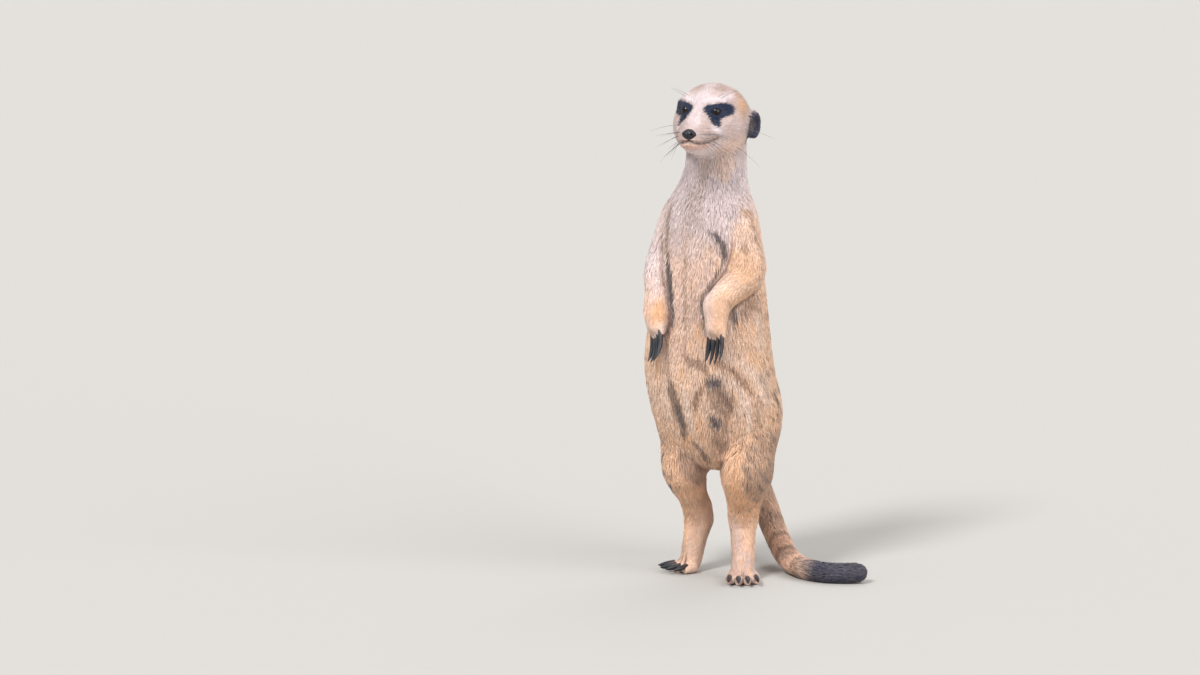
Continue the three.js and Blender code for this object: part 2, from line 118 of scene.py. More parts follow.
def along_line(points: Array, line: Array) -> tuple[Array, Array]:
    """Measure points against a line of straight stretches.

    Args:
        points: Points to measure, one per row.
        line: Corners of the line, one per row.

    Returns:
        The distance run along the line to the place nearest each point, and the distance from that place.
    """
    best = np.full(len(points), 1e9)
    run = np.zeros(len(points))
    done = 0.0
    for start, end in zip(line[:-1], line[1:]):
        step = end - start
        length = float(np.linalg.norm(step))
        share = np.clip((points - start) @ step / length**2, 0.0, 1.0)
        gap = np.linalg.norm(points - start - share[:, None] * step, axis=1)
        nearer = gap < best
        best = np.where(nearer, gap, best)
        run = np.where(nearer, done + share * length, run)
        done += length
    return run, best


def ripple(points: Array, size: float, seed: int) -> Array:
    """A soft random value from -1 to 1 that changes over about one size.

    Args:
        points: Places to look up, in millimetres.
        size: Width of one swell in millimetres.
        seed: Picks another pattern.

    Returns:
        One value for each point.
    """
    rng = np.random.default_rng(SEED + seed)
    total = np.zeros(len(points))
    for _ in range(7):
        way = unit(rng.normal(size=3)) * (2 * math.pi / size) * rng.uniform(0.6, 1.5)
        total += np.sin(points @ way + rng.uniform(0, 2 * math.pi))
    return np.clip(total / 3.2, -1.0, 1.0)


# ---- reading the solids


def rows_of(source: bpy.types.bpy_prop_collection, name: str, width: int, kind: type) -> Array:
    """Read one property of each member of a collection into rows."""
    values = np.empty(len(source) * width, dtype=kind)
    source.foreach_get(name, values)
    return values.reshape(-1, width)


def solid_mesh(name: str) -> Form:
    """Read one solid of the model.

    Args:
        name: The solid's node name.

    Returns:
        Its merged points in millimetres and its triangles.
    """
    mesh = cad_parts[name].data
    mesh.calc_loop_triangles()
    places = np.round(rows_of(mesh.vertices, "co", 3, float) / MM, 3)
    points, index = np.unique(places, axis=0, return_inverse=True)
    return points, index.reshape(-1)[rows_of(mesh.loop_triangles, "vertices", 3, int)]


def middle(name: str) -> Array:
    """The middle of a solid's box, in millimetres."""
    low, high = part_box(name)
    return np.array((low + high) / 2) / MM


def meeting(first: str, second: str) -> Array:
    """The middle of the face that two neighbouring solids share, in millimetres."""
    near, far = solid_mesh(first)[0], solid_mesh(second)[0]
    gaps = np.linalg.norm(near[:, None] - far[None], axis=2).min(axis=1)
    return near[gaps < gaps.min() + 1.6].mean(axis=0)


def point_normals(points: Array, triangles: Array) -> Array:
    """Point each vertex outwards, by the mean of the triangles round it."""
    a, b, c = (points[triangles[:, n]] for n in range(3))
    faces = np.cross(b - a, c - a)
    total = np.zeros_like(points)
    for n in range(3):
        for axis in range(3):
            total[:, axis] += np.bincount(triangles[:, n], faces[:, axis], len(points))
    return unit(total)


def stack(forms: list[Form]) -> Form:
    """Join forms into one.

    Args:
        forms: The points and the triangles of each.

    Returns:
        All the points, and all the triangles numbered anew.
    """
    starts = np.cumsum([0] + [len(points) for points, _ in forms[:-1]])
    triangles = [faces + start for (_, faces), start in zip(forms, starts)]
    return np.vstack([points for points, _ in forms]), np.vstack(triangles)


def tube(rows: int, sides: int) -> Array:
    """Join rings of points into a tube that is open at its ends.

    Args:
        rows: How many rings follow each other.
        sides: How many points each ring has.

    Returns:
        Two triangles for each side of each stretch.
    """
    faces = []
    for row in range(rows - 1):
        for n in range(sides):
            m = (n + 1) % sides
            a, b = row * sides, (row + 1) * sides
            faces += [[a + n, a + m, b + m], [a + n, b + m, b + n]]
    return np.array(faces)


def write_mesh(name: str, points: Array, triangles: Array) -> bpy.types.Mesh:
    """Write a mesh of triangles.

    Args:
        name: Name of the mesh.
        points: Points in millimetres.
        triangles: Three point numbers for each triangle.

    Returns:
        The new mesh, in metres.
    """
    mesh = bpy.data.meshes.new(name)
    mesh.vertices.add(len(points))
    mesh.vertices.foreach_set("co", (points * MM).ravel())
    mesh.loops.add(triangles.size)
    mesh.loops.foreach_set("vertex_index", triangles.ravel().astype(np.int32))
    mesh.polygons.add(len(triangles))
    mesh.polygons.foreach_set("loop_start", np.arange(0, triangles.size, 3, dtype=np.int32))
    mesh.update(calc_edges=True)
    return mesh


def add_object(name: str, data: bpy.types.ID) -> bpy.types.Object:
    """Put a new object in the scene."""
    thing = bpy.data.objects.new(name, data)
    bpy.context.scene.collection.objects.link(thing)
    return thing


def place(
    name: str, mesh: bpy.types.Mesh, slot: str, material: bpy.types.Material, *nodes: str
) -> bpy.types.Object:
    """Put a mesh in the scene as a piece of the animal.

    Args:
        name: The piece's name.
        mesh: Its mesh, already in place.
        slot: The record's finish that it takes; not used.
        material: Its Blender material.
        *nodes: The solids that it stands for.

    Returns:
        The new object.
    """
    piece = add_object(name, mesh)
    mesh.materials.append(material)
    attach(piece, "root")
    if nodes:
        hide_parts(*nodes)
    mesh.calc_loop_triangles()
    LOG.info("%s: %d triangles", name, len(mesh.loop_triangles))
    return piece


def set_colours(mesh: bpy.types.Mesh, name: str, *channels: Array) -> None:
    """Store up to four numbers for each point of a mesh under one name.

    Args:
        mesh: The mesh.
        name: The name that a material reads them by.
        *channels: One array for each number; those left out are 1.
    """
    values = np.ones((len(mesh.vertices), 4), dtype=np.float32)
    for n, channel in enumerate(channels):
        values[:, n] = channel
    mesh.attributes.new(name, "FLOAT_COLOR", "POINT").data.foreach_set("color", values.ravel())


def smooth(mesh: bpy.types.Mesh) -> None:
    """Shade all the faces of a mesh smooth."""
    mesh.polygons.foreach_set("use_smooth", np.ones(len(mesh.polygons), dtype=bool))


# ---- the head's own axes


@dataclass
class HeadAxes:
    """Axes that turn with the head: x to its left, y to the back, z up, from the middle of the braincase."""

    eye_front: float = 19.7
    eye_up: float = 5.2
    nose_drop: float = math.radians(33.2)
    origin: Array = field(init=False)
    axes: Array = field(init=False)

    def __post_init__(self) -> None:
        """Find the axes from the two eyes and the nose."""
        eyes = {side: middle(f"eye_{side}") for side in SIDES}
        midway = (eyes["left"] + eyes["right"]) / 2
        across = unit(eyes["left"] - eyes["right"])
        ahead = middle("nose") - midway
        ahead = unit(ahead - across * (ahead @ across))
        over = np.cross(across, ahead)
        c, s = math.cos(self.nose_drop), math.sin(self.nose_drop)
        self.axes = np.array([across, -c * ahead + s * over, -s * ahead - c * over])
        self.origin = midway - np.array([0, -self.eye_front, self.eye_up]) @ self.axes

    def local(self, points: Array) -> Array:
        """Turn points of the model into the head's own axes."""
        return (points - self.origin) @ self.axes.T

    def model(self, points: Array) -> Array:
        """Turn points in the head's own axes into the model's."""
        return points @ self.axes + self.origin

    def turn(self, vectors: Array) -> Array:
        """Turn directions in the head's own axes into the model's."""
        return vectors @ self.axes


# ---- how the coat lies


@dataclass(frozen=True)
class Lie:
    """How the coat lies on one part of the body, in millimetres, with tufts for each square millimetre."""

    depth: float
    length: float
    width: float
    tufts: float


class Part(Enum):
    """The parts of the body that have a coat of their own kind."""

    HEAD = Lie(0.75, 2.5, 0.28, 2.9)
    NAPE = Lie(2.2, 4.8, 0.4, 1.9)
    EAR = Lie(0.5, 1.9, 0.28, 2.8)
    NECK = Lie(1.7, 5.6, 0.4, 2.3)
    CHEST = Lie(2.2, 7.5, 0.46, 1.8)
    BELLY = Lie(2.3, 7.8, 0.48, 1.7)
    HIPS = Lie(2.4, 8.6, 0.5, 1.7)
    THIGH = Lie(2.3, 7.8, 0.48, 1.6)
    SHANK = Lie(1.4, 4.8, 0.42, 1.8)
    FOOT = Lie(0.65, 2.8, 0.34, 2.3)
    UPPER_ARM = Lie(1.7, 6.0, 0.45, 1.8)
    FOREARM = Lie(1.3, 4.8, 0.42, 1.9)
    HAND = Lie(0.55, 2.5, 0.32, 2.4)
    TAIL = Lie(1.6, 6.5, 0.5, 1.5)


TRUNK = {"neck": Part.NECK, "chest": Part.CHEST, "belly": Part.BELLY, "hips": Part.HIPS}
TAIL = ("tail_root", "tail_middle", "tail_lower", "tail_end")
ARM = ("upper_arm", "forearm", "hand")
LEG = ("thigh", "shank", "foot")
FLESH: dict[str, Part] = {"head": Part.HEAD} | TRUNK | dict.fromkeys(TAIL, Part.TAIL)
for _side in SIDES:
    FLESH[f"ear_{_side}"] = Part.EAR
    FLESH |= {f"{_name}_{_side}": Part[_name.upper()] for _name in ARM + LEG}
NODES = list(FLESH)


def claw_nodes(limb: str, side: str) -> list[str]:
    """The claws of one hand or foot, from its inner or outer edge on."""
    return [f"claw_{limb}_{side}_{n}" for n in range(1, 5)]


def claw_middles() -> list[Array]:
    """The middles of all sixteen claws."""
    return [middle(node) for side in SIDES for limb in ("hand", "foot") for node in claw_nodes(limb, side)]


# ---- a surface as arrays


class Surface:
    """A mesh held as arrays, with points in millimetres."""

    def __init__(self, mesh: bpy.types.Mesh) -> None:
        """Read a mesh.

        Args:
            mesh: The mesh to work on; write() puts the points back.
        """
        self.mesh = mesh
        mesh.calc_loop_triangles()
        self.points = rows_of(mesh.vertices, "co", 3, float) / MM
        self.edges = rows_of(mesh.edges, "vertices", 2, int)
        self.triangles = rows_of(mesh.loop_triangles, "vertices", 3, int)
        ends = self.edges.ravel()
        self.valence = np.maximum(np.bincount(ends, minlength=len(self.points)), 1)

    def normals(self) -> Array:
        """The outward direction at each point."""
        return point_normals(self.points, self.triangles)

    def mean(self, values: Array) -> Array:
        """The mean of each point's neighbours.

        Args:
            values: One row for each point.

        Returns:
            An array of the same shape.
        """
        flat = values.reshape(len(values), -1)
        total = np.empty_like(flat, dtype=float)
        a, b = self.edges[:, 0], self.edges[:, 1]
        for n in range(flat.shape[1]):
            column = flat[:, n]
            total[:, n] = np.bincount(a, column[b], len(flat)) + np.bincount(b, column[a], len(flat))
        return (total / self.valence[:, None]).reshape(values.shape)

    def soften(self, values: Array, rounds: int) -> Array:
        """Spread values over the surface.

        Args:
            values: One row for each point.
            rounds: How many times each point takes the mean of itself and its neighbours.

        Returns:
            The softened values.
        """
        for _ in range(rounds):
            values = 0.4 * values + 0.6 * self.mean(values)
        return values

    def relax(self, rounds: int, weight: Array | float = 1.0, keep: float = 0.53) -> None:
        """Smooth the points.

        Args:
            rounds: How many times to smooth.
            weight: How much each point takes part.
            keep: How far each round swells out again after drawing in, so that thin forms don't shrink.
        """
        for _ in range(rounds):
            for share in (0.5, -keep) if keep else (0.5,):
                self.points += share * weight * (self.mean(self.points) - self.points)

    def tree(self) -> BVHTree:
        """A search tree that finds the place on the surface nearest any other."""
        return BVHTree.FromPolygons(self.points.tolist(), self.triangles.tolist())

    def write(self) -> None:
        """Put the points back into the mesh, in metres."""
        self.mesh.vertices.foreach_set("co", (self.points * MM).ravel())
        self.mesh.update()


def new_ball(name: str, make: Callable[..., object], **detail: int) -> Surface:
    """Make a ball to shape further.

    Args:
        name: Name of its mesh.
        make: The bmesh operator that makes it.
        **detail: How finely the operator divides it.

    Returns:
        The ball as arrays.
    """
    mesh = bpy.data.meshes.new(name)
    work = bmesh.new()
    make(work, radius=1.0, **detail)
    work.to_mesh(mesh)
    work.free()
    return Surface(mesh)


# ---- markings


Tone = tuple[float, float, float, float, float]


class Shade(Enum):
    """Shares of pale, rust, brown, dark and pink in the strokes of the coat's front."""

    LIGHT = (0.3, 0.12, 0.0, 0.0, 0.0)
    MAUVE = (0.0, 0.05, 0.62, 0.12, 0.16)
    BROWN = (0.0, 0.25, 0.62, 0.12, 0.05)
    DUSK = (0.0, 0.05, 0.6, 0.36, 0.0)
    SLATE = (0.0, 0.0, 0.3, 0.78, 0.0)
    LILAC = (0.5, 0.0, 0.1, 0.3, 0.1)
    TAN = (0.04, 0.74, 0.06, 0.0, 0.0)


class Wash(Enum):
    """The washes over the ground colours: how strong, and the shares of pale, rust, brown, dark and pink."""

    BIB = (0.9, (0.74, 0.0, 0.12, 0.14, 0.06))
    FLANK = (0.6, (0.1, 0.5, 0.0, 0.0, 0.04))
    BACK = (0.85, (0.12, 0.34, 0.3, 0.02, 0.0))
    BODY_RUST = (0.5, (0.05, 0.75, 0.0, 0.0, 0.05))
    BODY_DUSK = (0.18, (0.1, 0.05, 0.5, 0.06, 0.2))
    BAR = (0.78, (0.0, 0.12, 0.75, 0.3, 0.0))
    DASH = (1.0, (0.0, 0.0, 0.5, 0.5, 0.0))
    LEG_RUST = (0.5, (0.05, 0.8, 0.0, 0.0, 0.05))
    LEG_DUSK = (0.1, (0.1, 0.05, 0.5, 0.06, 0.2))
    INNER_LEG = (1.0, (0.08, 0.3, 0.38, 0.03, 0.15))
    RIGHT_SHIN = (0.6, (0.4, 0.58, 0.0, 0.0, 0.0))
    RIGHT_LEG = (0.3, (0.5, 0.4, 0.0, 0.0, 0.05))
    LEFT_ARM = (0.4, Shade.TAN.value)
    RIGHT_WRIST = (0.85, (0.0, 0.85, 0.1, 0.0, 0.0))
    WRIST = (0.3, (0.05, 0.85, 0.0, 0.0, 0.0))
    UNDER_ARM = (0.6, (0.1, 0.75, 0.1, 0.0, 0.0))
    UPPER_ARM = (1.0, (0.3, 0.5, 0.05, 0.0, 0.0))
    SHIN = (0.6, (0.15, 0.72, 0.0, 0.0, 0.05))
    OUTER_THIGH = (1.0, (0.0, 0.32, 0.42, 0.24, 0.0))
    BACK_OF_LEG = (0.4, (0.0, 0.6, 0.25, 0.0, 0.0))
    TAIL_RING = (0.62, (0.0, 0.1, 0.72, 0.28, 0.0))
    TAIL_ROOT = (0.85, (0.0, 0.2, 0.5, 0.3, 0.0))
    TAIL_BLOTCH = (0.6, (0.0, 0.0, 0.7, 0.3, 0.0))
    TAIL_TIP = (1.0, (0.07, 0.0, 0.0, 0.93, 0.0))
    CROWN = (0.9, (0.3, 0.0, 0.42, 0.24, 0.2))
    NAPE = (0.7, (0.15, 0.3, 0.3, 0.0, 0.05))
    JAW = (0.95, (0.85, 0.12, 0.0, 0.0, 0.03))
    CHEEK = (0.55, (0.45, 0.48, 0.0, 0.0, 0.04))
    MUZZLE = (0.9, (0.3, 0.0, 0.32, 0.28, 0.12))
    UPPER_LIP = (0.55, (0.3, 0.0, 0.4, 0.12, 0.25))
    TEMPLE = (0.85, (0.1, 0.8, 0.1, 0.0, 0.0))
    BROW = (0.85, (0.9, 0.0, 0.06, 0.04, 0.0))
    BLAZE = (0.55, (0.9, 0.0, 0.06, 0.04, 0.0))
    UNDER_EYE = (1.0, (1.0, 0.0, 0.0, 0.0, 0.0))
    LOWER_LIP = (0.7, (0.1, 0.3, 0.0, 0.0, 0.7))
    MOUTH = (0.8, (0.0, 0.0, 0.62, 0.38, 0.0))
    EAR = (1.0, (0.02, 0.0, 0.0, 0.97, 0.0))
    EAR_CUP = (0.25, (0.2, 0.0, 0.3, 0.4, 0.5))
    MASK = (1.0, (0.0, 0.0, 0.0, 1.0, 0.0))


class Level(Enum):
    """Heights where the standing animal's coat changes: where a change starts, and where it is full."""

    FOOT_TOP = (12, 26)
    HEEL = (24, 60)
    SHIN_DASHES = (40, 54)
    SHIN_TOP = (42, 56)
    CALF = (44, 58)
    THIGH_FOOT = (48, 66)
    KNEE = (52, 66)
    RUMP = (64, 84)
    LEG_TOP = (108, 120)
    WAIST = (128, 150)
    WRIST = (158, 168)
    FOREARM = (166, 178)
    FOREARM_TOP = (182, 198)
    ELBOW = (182, 200)
    LOIN_TOP = (196, 224)
    BIB = (196, 232)
    FLANK_TOP = (205, 240)
    SHOULDER = (226, 240)


def above(level: Level, z: Array) -> Array:
    """Rise from 0 under a level to 1 over it."""
    return ease(*level.value, z)


def below(level: Level, z: Array) -> Array:
    """Fall from 1 under a level to 0 over it."""
    return 1 - above(level, z)


@dataclass(frozen=True)
class Stroke:
    """A line of other colour on the animal's front: millimetres left of its middle line, and up."""

    shade: Shade
    share: float
    width: float
    path: tuple[tuple[float, float], ...]


FRONT_STROKES = (
    # The belly: a dusky patch with a spot over it and one in it, and a streak beside it between light lines.
    Stroke(Shade.MAUVE, 0.8, 6.4, ((13, 124), (19, 117), (21, 108))),
    Stroke(Shade.DUSK, 0.85, 3.0, ((17, 126), (23.5, 119), (24.5, 111))),
    Stroke(Shade.DUSK, 0.6, 2.6, ((20, 106), (18.5, 96))),
    Stroke(Shade.MAUVE, 0.8, 6.0, ((13, 96), (12.5, 84))),
    Stroke(Shade.SLATE, 1.0, 3.4, ((14.6, 129.8), (18.2, 128.8))),
    Stroke(Shade.SLATE, 1.0, 3.7, ((14.2, 104.2), (14.4, 103.0))),
    Stroke(Shade.BROWN, 0.95, 1.8, ((10.5, 128), (5, 120), (2.3, 110))),
    Stroke(Shade.LIGHT, 0.9, 2.2, ((-5, 129), (-1.6, 112), (-3.6, 95))),
    Stroke(Shade.LIGHT, 0.8, 2.0, ((-16.2, 128), (-16.6, 104))),
    Stroke(Shade.DUSK, 0.95, 4.2, ((-12.6, 130), (-10.4, 117), (-8.6, 101), (-9.6, 93))),
    Stroke(Shade.SLATE, 0.8, 3.0, ((-9.4, 113), (-8.2, 100))),
    # Soft folds that curve from the middle line out to the left flank: painted shade in each, with painted
    # light beside it.
    Stroke(Shade.MAUVE, 0.9, 2.2, ((-4, 147), (1, 143.5), (8.7, 139.4), (14, 134))),
    Stroke(Shade.LIGHT, 0.7, 2.6, ((20, 149), (31, 142), (38, 129), (39.5, 112))),
    Stroke(Shade.BROWN, 0.9, 1.8, ((14, 143), (26, 137.5), (33, 127), (36, 115))),
    Stroke(Shade.LIGHT, 0.8, 2.4, ((18, 136), (27, 129), (31.5, 118), (31, 98))),
    Stroke(Shade.BROWN, 0.5, 1.8, ((35, 110), (34, 96), (36, 84))),
    # Painted shade in the groin crease and on the inner side of the right thigh.
    Stroke(Shade.DUSK, 0.9, 2.0, ((-6, 91), (-2, 83), (1, 74))),
    Stroke(Shade.MAUVE, 0.65, 6.0, ((-16, 80), (-11, 70), (-10, 58))),
    # The line down the middle of the chest, to the wrists.
    Stroke(Shade.MAUVE, 0.5, 1.6, ((-5, 222), (-5.5, 212), (-3.5, 180), (-1, 146))),
    # The throat: tan sides, a darker middle, and painted grey-mauve shade in the hollows under the head that
    # fork over the breastbone.
    Stroke(Shade.TAN, 0.3, 6.0, ((9, 276), (11, 266), (13, 254))),
    Stroke(Shade.TAN, 0.25, 4.0, ((-5, 275), (0, 266), (5, 258))),
    Stroke(Shade.BROWN, 0.4, 2.6, ((1, 277), (3, 270), (2, 262))),
    Stroke(Shade.LILAC, 0.8, 7.0, ((-2, 250), (-4.5, 226))),
    Stroke(Shade.LILAC, 0.9, 3.0, ((3, 268), (0, 240))),
    Stroke(Shade.LILAC, 0.7, 3.5, ((-4, 234), (5, 226), (10, 222))),
    # Painted shade where the right arm lies along the chest, and in the left arm's fold and along its edge
    # down to the wrist.
    Stroke(Shade.DUSK, 0.7, 1.7, ((-19, 238), (-20, 225), (-18.6, 209), (-16.4, 194))),
    Stroke(Shade.SLATE, 1.0, 2.5, ((-18.2, 206), (-16, 194), (-13.8, 179), (-11.6, 164))),
    Stroke(Shade.SLATE, 1.0, 2.1, ((8, 223), (12.6, 220.2), (18.3, 214.6), (20.4, 206))),
    Stroke(Shade.SLATE, 0.8, 1.8, ((20.2, 208), (17.4, 200.8), (13, 192), (9.6, 184), (8.4, 172), (10, 160))),
    # The left elbow and the back of the arm above it.
    Stroke(Shade.TAN, 0.45, 9.0, ((25, 209), (32, 201), (39, 192))),
    Stroke(Shade.BROWN, 0.8, 1.5, ((25, 236), (28, 230))),
    Stroke(Shade.BROWN, 0.8, 1.5, ((30, 230), (33, 223))),
    Stroke(Shade.BROWN, 0.8, 1.5, ((34, 221), (36, 213))),
    Stroke(Shade.BROWN, 0.7, 1.5, ((30, 216), (33, 208))),
)

# Painted shadow under the left forearm, on the trunk alone, and a light line below it.
TRUNK_STROKES = (
    Stroke(Shade.SLATE, 0.95, 2.0, ((42, 190), (33, 182), (26, 175.5), (25.4, 165))),
    Stroke(Shade.MAUVE, 0.75, 4.5, ((37, 179), (30, 170))),
    Stroke(Shade.LIGHT, 0.8, 3.0, ((35, 170), (38, 158), (38, 146))),
)


# The line of the lips in the head's own axes, from the middle to the corner of one side.
LIPS = np.array(
    [
        (0.0, -40.5, -13.0),
        (2.6, -39.6, -13.6),
        (5.6, -36.0, -13.8),
        (8.2, -31.5, -13.4),
        (10.4, -27.4, -12.4),
        (12.6, -23.8, -10.8),
    ]
)


@dataclass
class Markings:
    """Where each colour of the coat lies, by the animal's own anatomy."""

    head: HeadAxes
    heights: tuple[float, float, float] = (70.0, 280.0, 10.0)
    slab: float = 9.0
    hang: float = 3.5
    eye: tuple[float, float, float] = (11.7, -23.0, 5.5)
    to_ear: tuple[float, float] = (0.68, 0.73)
    ring_spacing: float = 21.0
    bar_spacing: float = 12.5
    flank_dashes: float = 7.5
    thigh_dashes: float = 7.0
    spine: Array = field(init=False)
    tail: Array = field(init=False)

    def __post_init__(self) -> None:
        """Find the middle line of the trunk and of the tail."""
        trunk = np.vstack([solid_mesh(name)[0] for name in TRUNK])
        rows = []
        for z in np.arange(*self.heights):
            ring = trunk[np.abs(trunk[:, 2] - z) < self.slab]
            low, high = ring.min(axis=0), ring.max(axis=0)
            rows.append([(low[0] + high[0]) / 2, (low[1] + high[1]) / 2, z])
        self.spine = np.array(rows)
        line = [meeting("hips", TAIL[0])]
        for name, following in zip(TAIL, [*TAIL[1:], None]):
            ring = solid_mesh(name)[0]
            line.append(ring.mean(axis=0))
            if following:
                line.append(meeting(name, following))
            else:
                line.append(ring[np.argmax(np.linalg.norm(ring - line[-2], axis=1))])
        self.tail = np.array(line)

    def from_spine(self, points: Array) -> Array:
        """How far points lie to the left of the trunk's middle line, and behind it, at their own heights."""
        middles = [np.interp(points[:, 2], self.spine[:, 2], self.spine[:, n]) for n in range(2)]
        return points[:, :2] - np.column_stack(middles)

    def base(self) -> Array:
        """The ground colour of each solid's coat.

        Returns:
            A row of pale, rust, brown, dark and pink for each of NODES.
        """
        ground = {
            Part.HEAD: (0.6, 0.0, 0.22, 0.12, 0.12),
            Part.EAR: (0.5, 0.0, 0.15, 0.18, 0.0),
            Part.NECK: (0.78, 0.02, 0.04, 0.03, 0.06),
            Part.CHEST: (0.32, 0.16, 0.04, 0.0, 0.2),
            Part.BELLY: (0.26, 0.3, 0.0, 0.0, 0.08),
            Part.HIPS: (0.2, 0.42, 0.0, 0.0, 0.08),
            Part.THIGH: (0.1, 0.6, 0.06, 0.0, 0.06),
            Part.SHANK: (0.2, 0.7, 0.03, 0.0, 0.0),
            Part.FOOT: (0.42, 0.12, 0.24, 0.05, 0.2),
            Part.UPPER_ARM: (0.84, 0.06, 0.0, 0.0, 0.02),
            Part.FOREARM: (0.74, 0.14, 0.0, 0.0, 0.04),
            Part.HAND: (0.6, 0.22, 0.0, 0.0, 0.12),
            Part.TAIL: (0.1, 0.42, 0.08, 0.0, 0.36),
        }
        return np.array([ground[FLESH[name]] for name in NODES])

    def paint(self, points: Array, normals: Array, base: Array, shares: Array) -> Array:
        """Lay every marking over the ground colours, with the painted shade and light among them.

        Args:
            points: Places on the skin, in millimetres.
            normals: The outward directions there.
            base: The ground colours there, in rows as base() gives.
            shares: How much each place belongs to the head, the trunk, the limbs and the tail.

        Returns:
            A row of pale, rust, brown, dark and pink for each place.
        """
        colour = base.copy()
        on_head, on_trunk, on_limb, on_tail = shares.T
        self._trunk(points, colour, on_trunk)
        self._limbs(points, normals, colour, on_limb)
        self._strokes(points, normals, colour, on_trunk + on_limb, FRONT_STROKES)
        self._strokes(points, normals, colour, on_trunk, TRUNK_STROKES)
        self._tail(points, colour, on_tail)
        self._face(self.head.local(points), colour, on_head)
        return np.clip(colour, 0.0, 1.0)

    @staticmethod
    def paint_fold_shade(colour: Array, fold_shade: Array) -> None:
        """Paint shade into the folds of the body, where the coat closes over itself: browner, and dark in the
        deepest.
        """
        colour[:, 2] = np.maximum(colour[:, 2], 0.7 * fold_shade)
        colour[:, 3] = np.maximum(colour[:, 3], 0.45 * fold_shade**2)

    @staticmethod
    def _mix(colour: Array, share: Array, tone: Tone) -> None:
        """Move the colours towards one tone, by a share at each place."""
        weight = np.clip(share, 0.0, 1.0)[:, None]
        colour += weight * (np.array(tone) - colour)

    def _lay(self, colour: Array, where: Array, wash: Wash) -> None:
        """Lay a wash over the colours where it belongs, at its own strength."""
        strength, tone = wash.value
        self._mix(colour, where * strength, tone)

    def _streak(self, colour: Array, where: Array, swells: Array, rust: Wash, dusk: Wash) -> None:
        """Lay two washes in long streaks that keep apart."""
        self._lay(colour, where * ease(0.1, 0.8, swells), rust)
        self._lay(colour, where * ease(0.1, 0.8, -swells), dusk)

    def _trunk(self, points: Array, colour: Array, on: Array) -> None:
        """Pale front, fawn belly, orange flanks, grizzled back with short dark bars."""
        z = points[:, 2]
        away_x, away_y = self.from_spine(points).T
        round_front = np.degrees(np.arctan2(np.abs(away_x), -away_y))
        wander = ripple(points, 26, 1)
        front = 1 - ease(48, 86, round_front + 9 * wander)
        self._lay(colour, on * front * above(Level.BIB, z + 7 * wander), Wash.BIB)
        flank = ease(44, 74, round_front + 7 * wander) * (1 - ease(108, 138, round_front))
        self._lay(colour, on * flank * below(Level.FLANK_TOP, z), Wash.FLANK)
        self._lay(colour, on * ease(104, 138, round_front + 8 * wander), Wash.BACK)
        swells = ripple(points * [1.0, 1.0, 0.25], 7, 15)
        self._streak(colour, on * below(Level.BIB, z), swells, Wash.BODY_RUST, Wash.BODY_DUSK)
        # Short bars that curve down from the spine over the lower back and fade on the flank.
        beat = z + 0.05 * (180 - round_front) + 2.2 * ripple(points, 34, 2)
        bars = bands(beat, self.bar_spacing, 0.35) * ease(84, 128, round_front + 6 * wander)
        low_back = above(Level.RUMP, z) * below(Level.LOIN_TOP, z)
        self._lay(colour, on * bars * low_back, Wash.BAR)
        # Dark dashes that fall steeply back over the flank and the hip.
        slope = 0.45 * np.abs(away_x) + 0.8 * away_y + 0.5 * z + 1.5 * wander
        dashes = bands(slope, self.flank_dashes, 0.1) * ease(58, 80, round_front)
        broken = ease(-0.3, 0.4, ripple(points, 13, 5)) * below(Level.WAIST, z)
        self._lay(colour, on * dashes * broken, Wash.DASH)

    def _strokes(
        self, points: Array, normals: Array, colour: Array, on: Array, strokes: tuple[Stroke, ...]
    ) -> None:
        """Draw the strokes of the front, each a little ragged along its edges."""
        rough = np.column_stack([ripple(points, 9, 12), ripple(points, 9, 13)])
        # Each hair hangs below its root, so a root takes the colour of a place a little lower.
        flat = np.column_stack([self.from_spine(points)[:, 0], points[:, 2] - self.hang]) + 0.8 * rough
        facing = ease(-0.1, 0.25, -normals[:, 1])
        for stroke in strokes:
            path = np.array(stroke.path, dtype=float)
            run, gap = along_line(flat, path)
            total = stretches(path).sum()
            # A long stroke thins out towards its ends, and a short one is a spot.
            taper = 0.35 + 0.65 * np.sin(math.pi * np.clip(run / total, 0.0, 1.0)) ** 0.6
            if total < 2 * stroke.width:
                taper = 1.0
            line = 1 - ease(0.4, 1.3, gap / (stroke.width * taper))
            self._mix(colour, on * facing * line * stroke.share, stroke.shade.value)

    def _limbs(self, points: Array, normals: Array, colour: Array, on: Array) -> None:
        """Deeper colour on the outside of the limbs, painted shade on the legs' inner side, under the arms
        and down the outer left thigh, and painted light on the right leg.
        """
        aside = self.from_spine(points)[:, 0]
        outwards = normals[:, 0] * np.sign(aside)
        right = aside < 0
        z = points[:, 2]
        leg = below(Level.LEG_TOP, z)
        arm = 1 - leg
        wander = ripple(points, 15, 3)
        self._streak(colour, on * leg, ripple(points * [1.0, 1.0, 0.3], 6, 16), Wash.LEG_RUST, Wash.LEG_DUSK)
        # Painted shade on the inner side of the legs above the knee, weaker on the right.
        inner = ease(0.15, 0.8, -outwards) * leg * above(Level.KNEE, z) * np.where(right, 0.12, 0.3)
        self._lay(colour, on * inner, Wash.INNER_LEG)
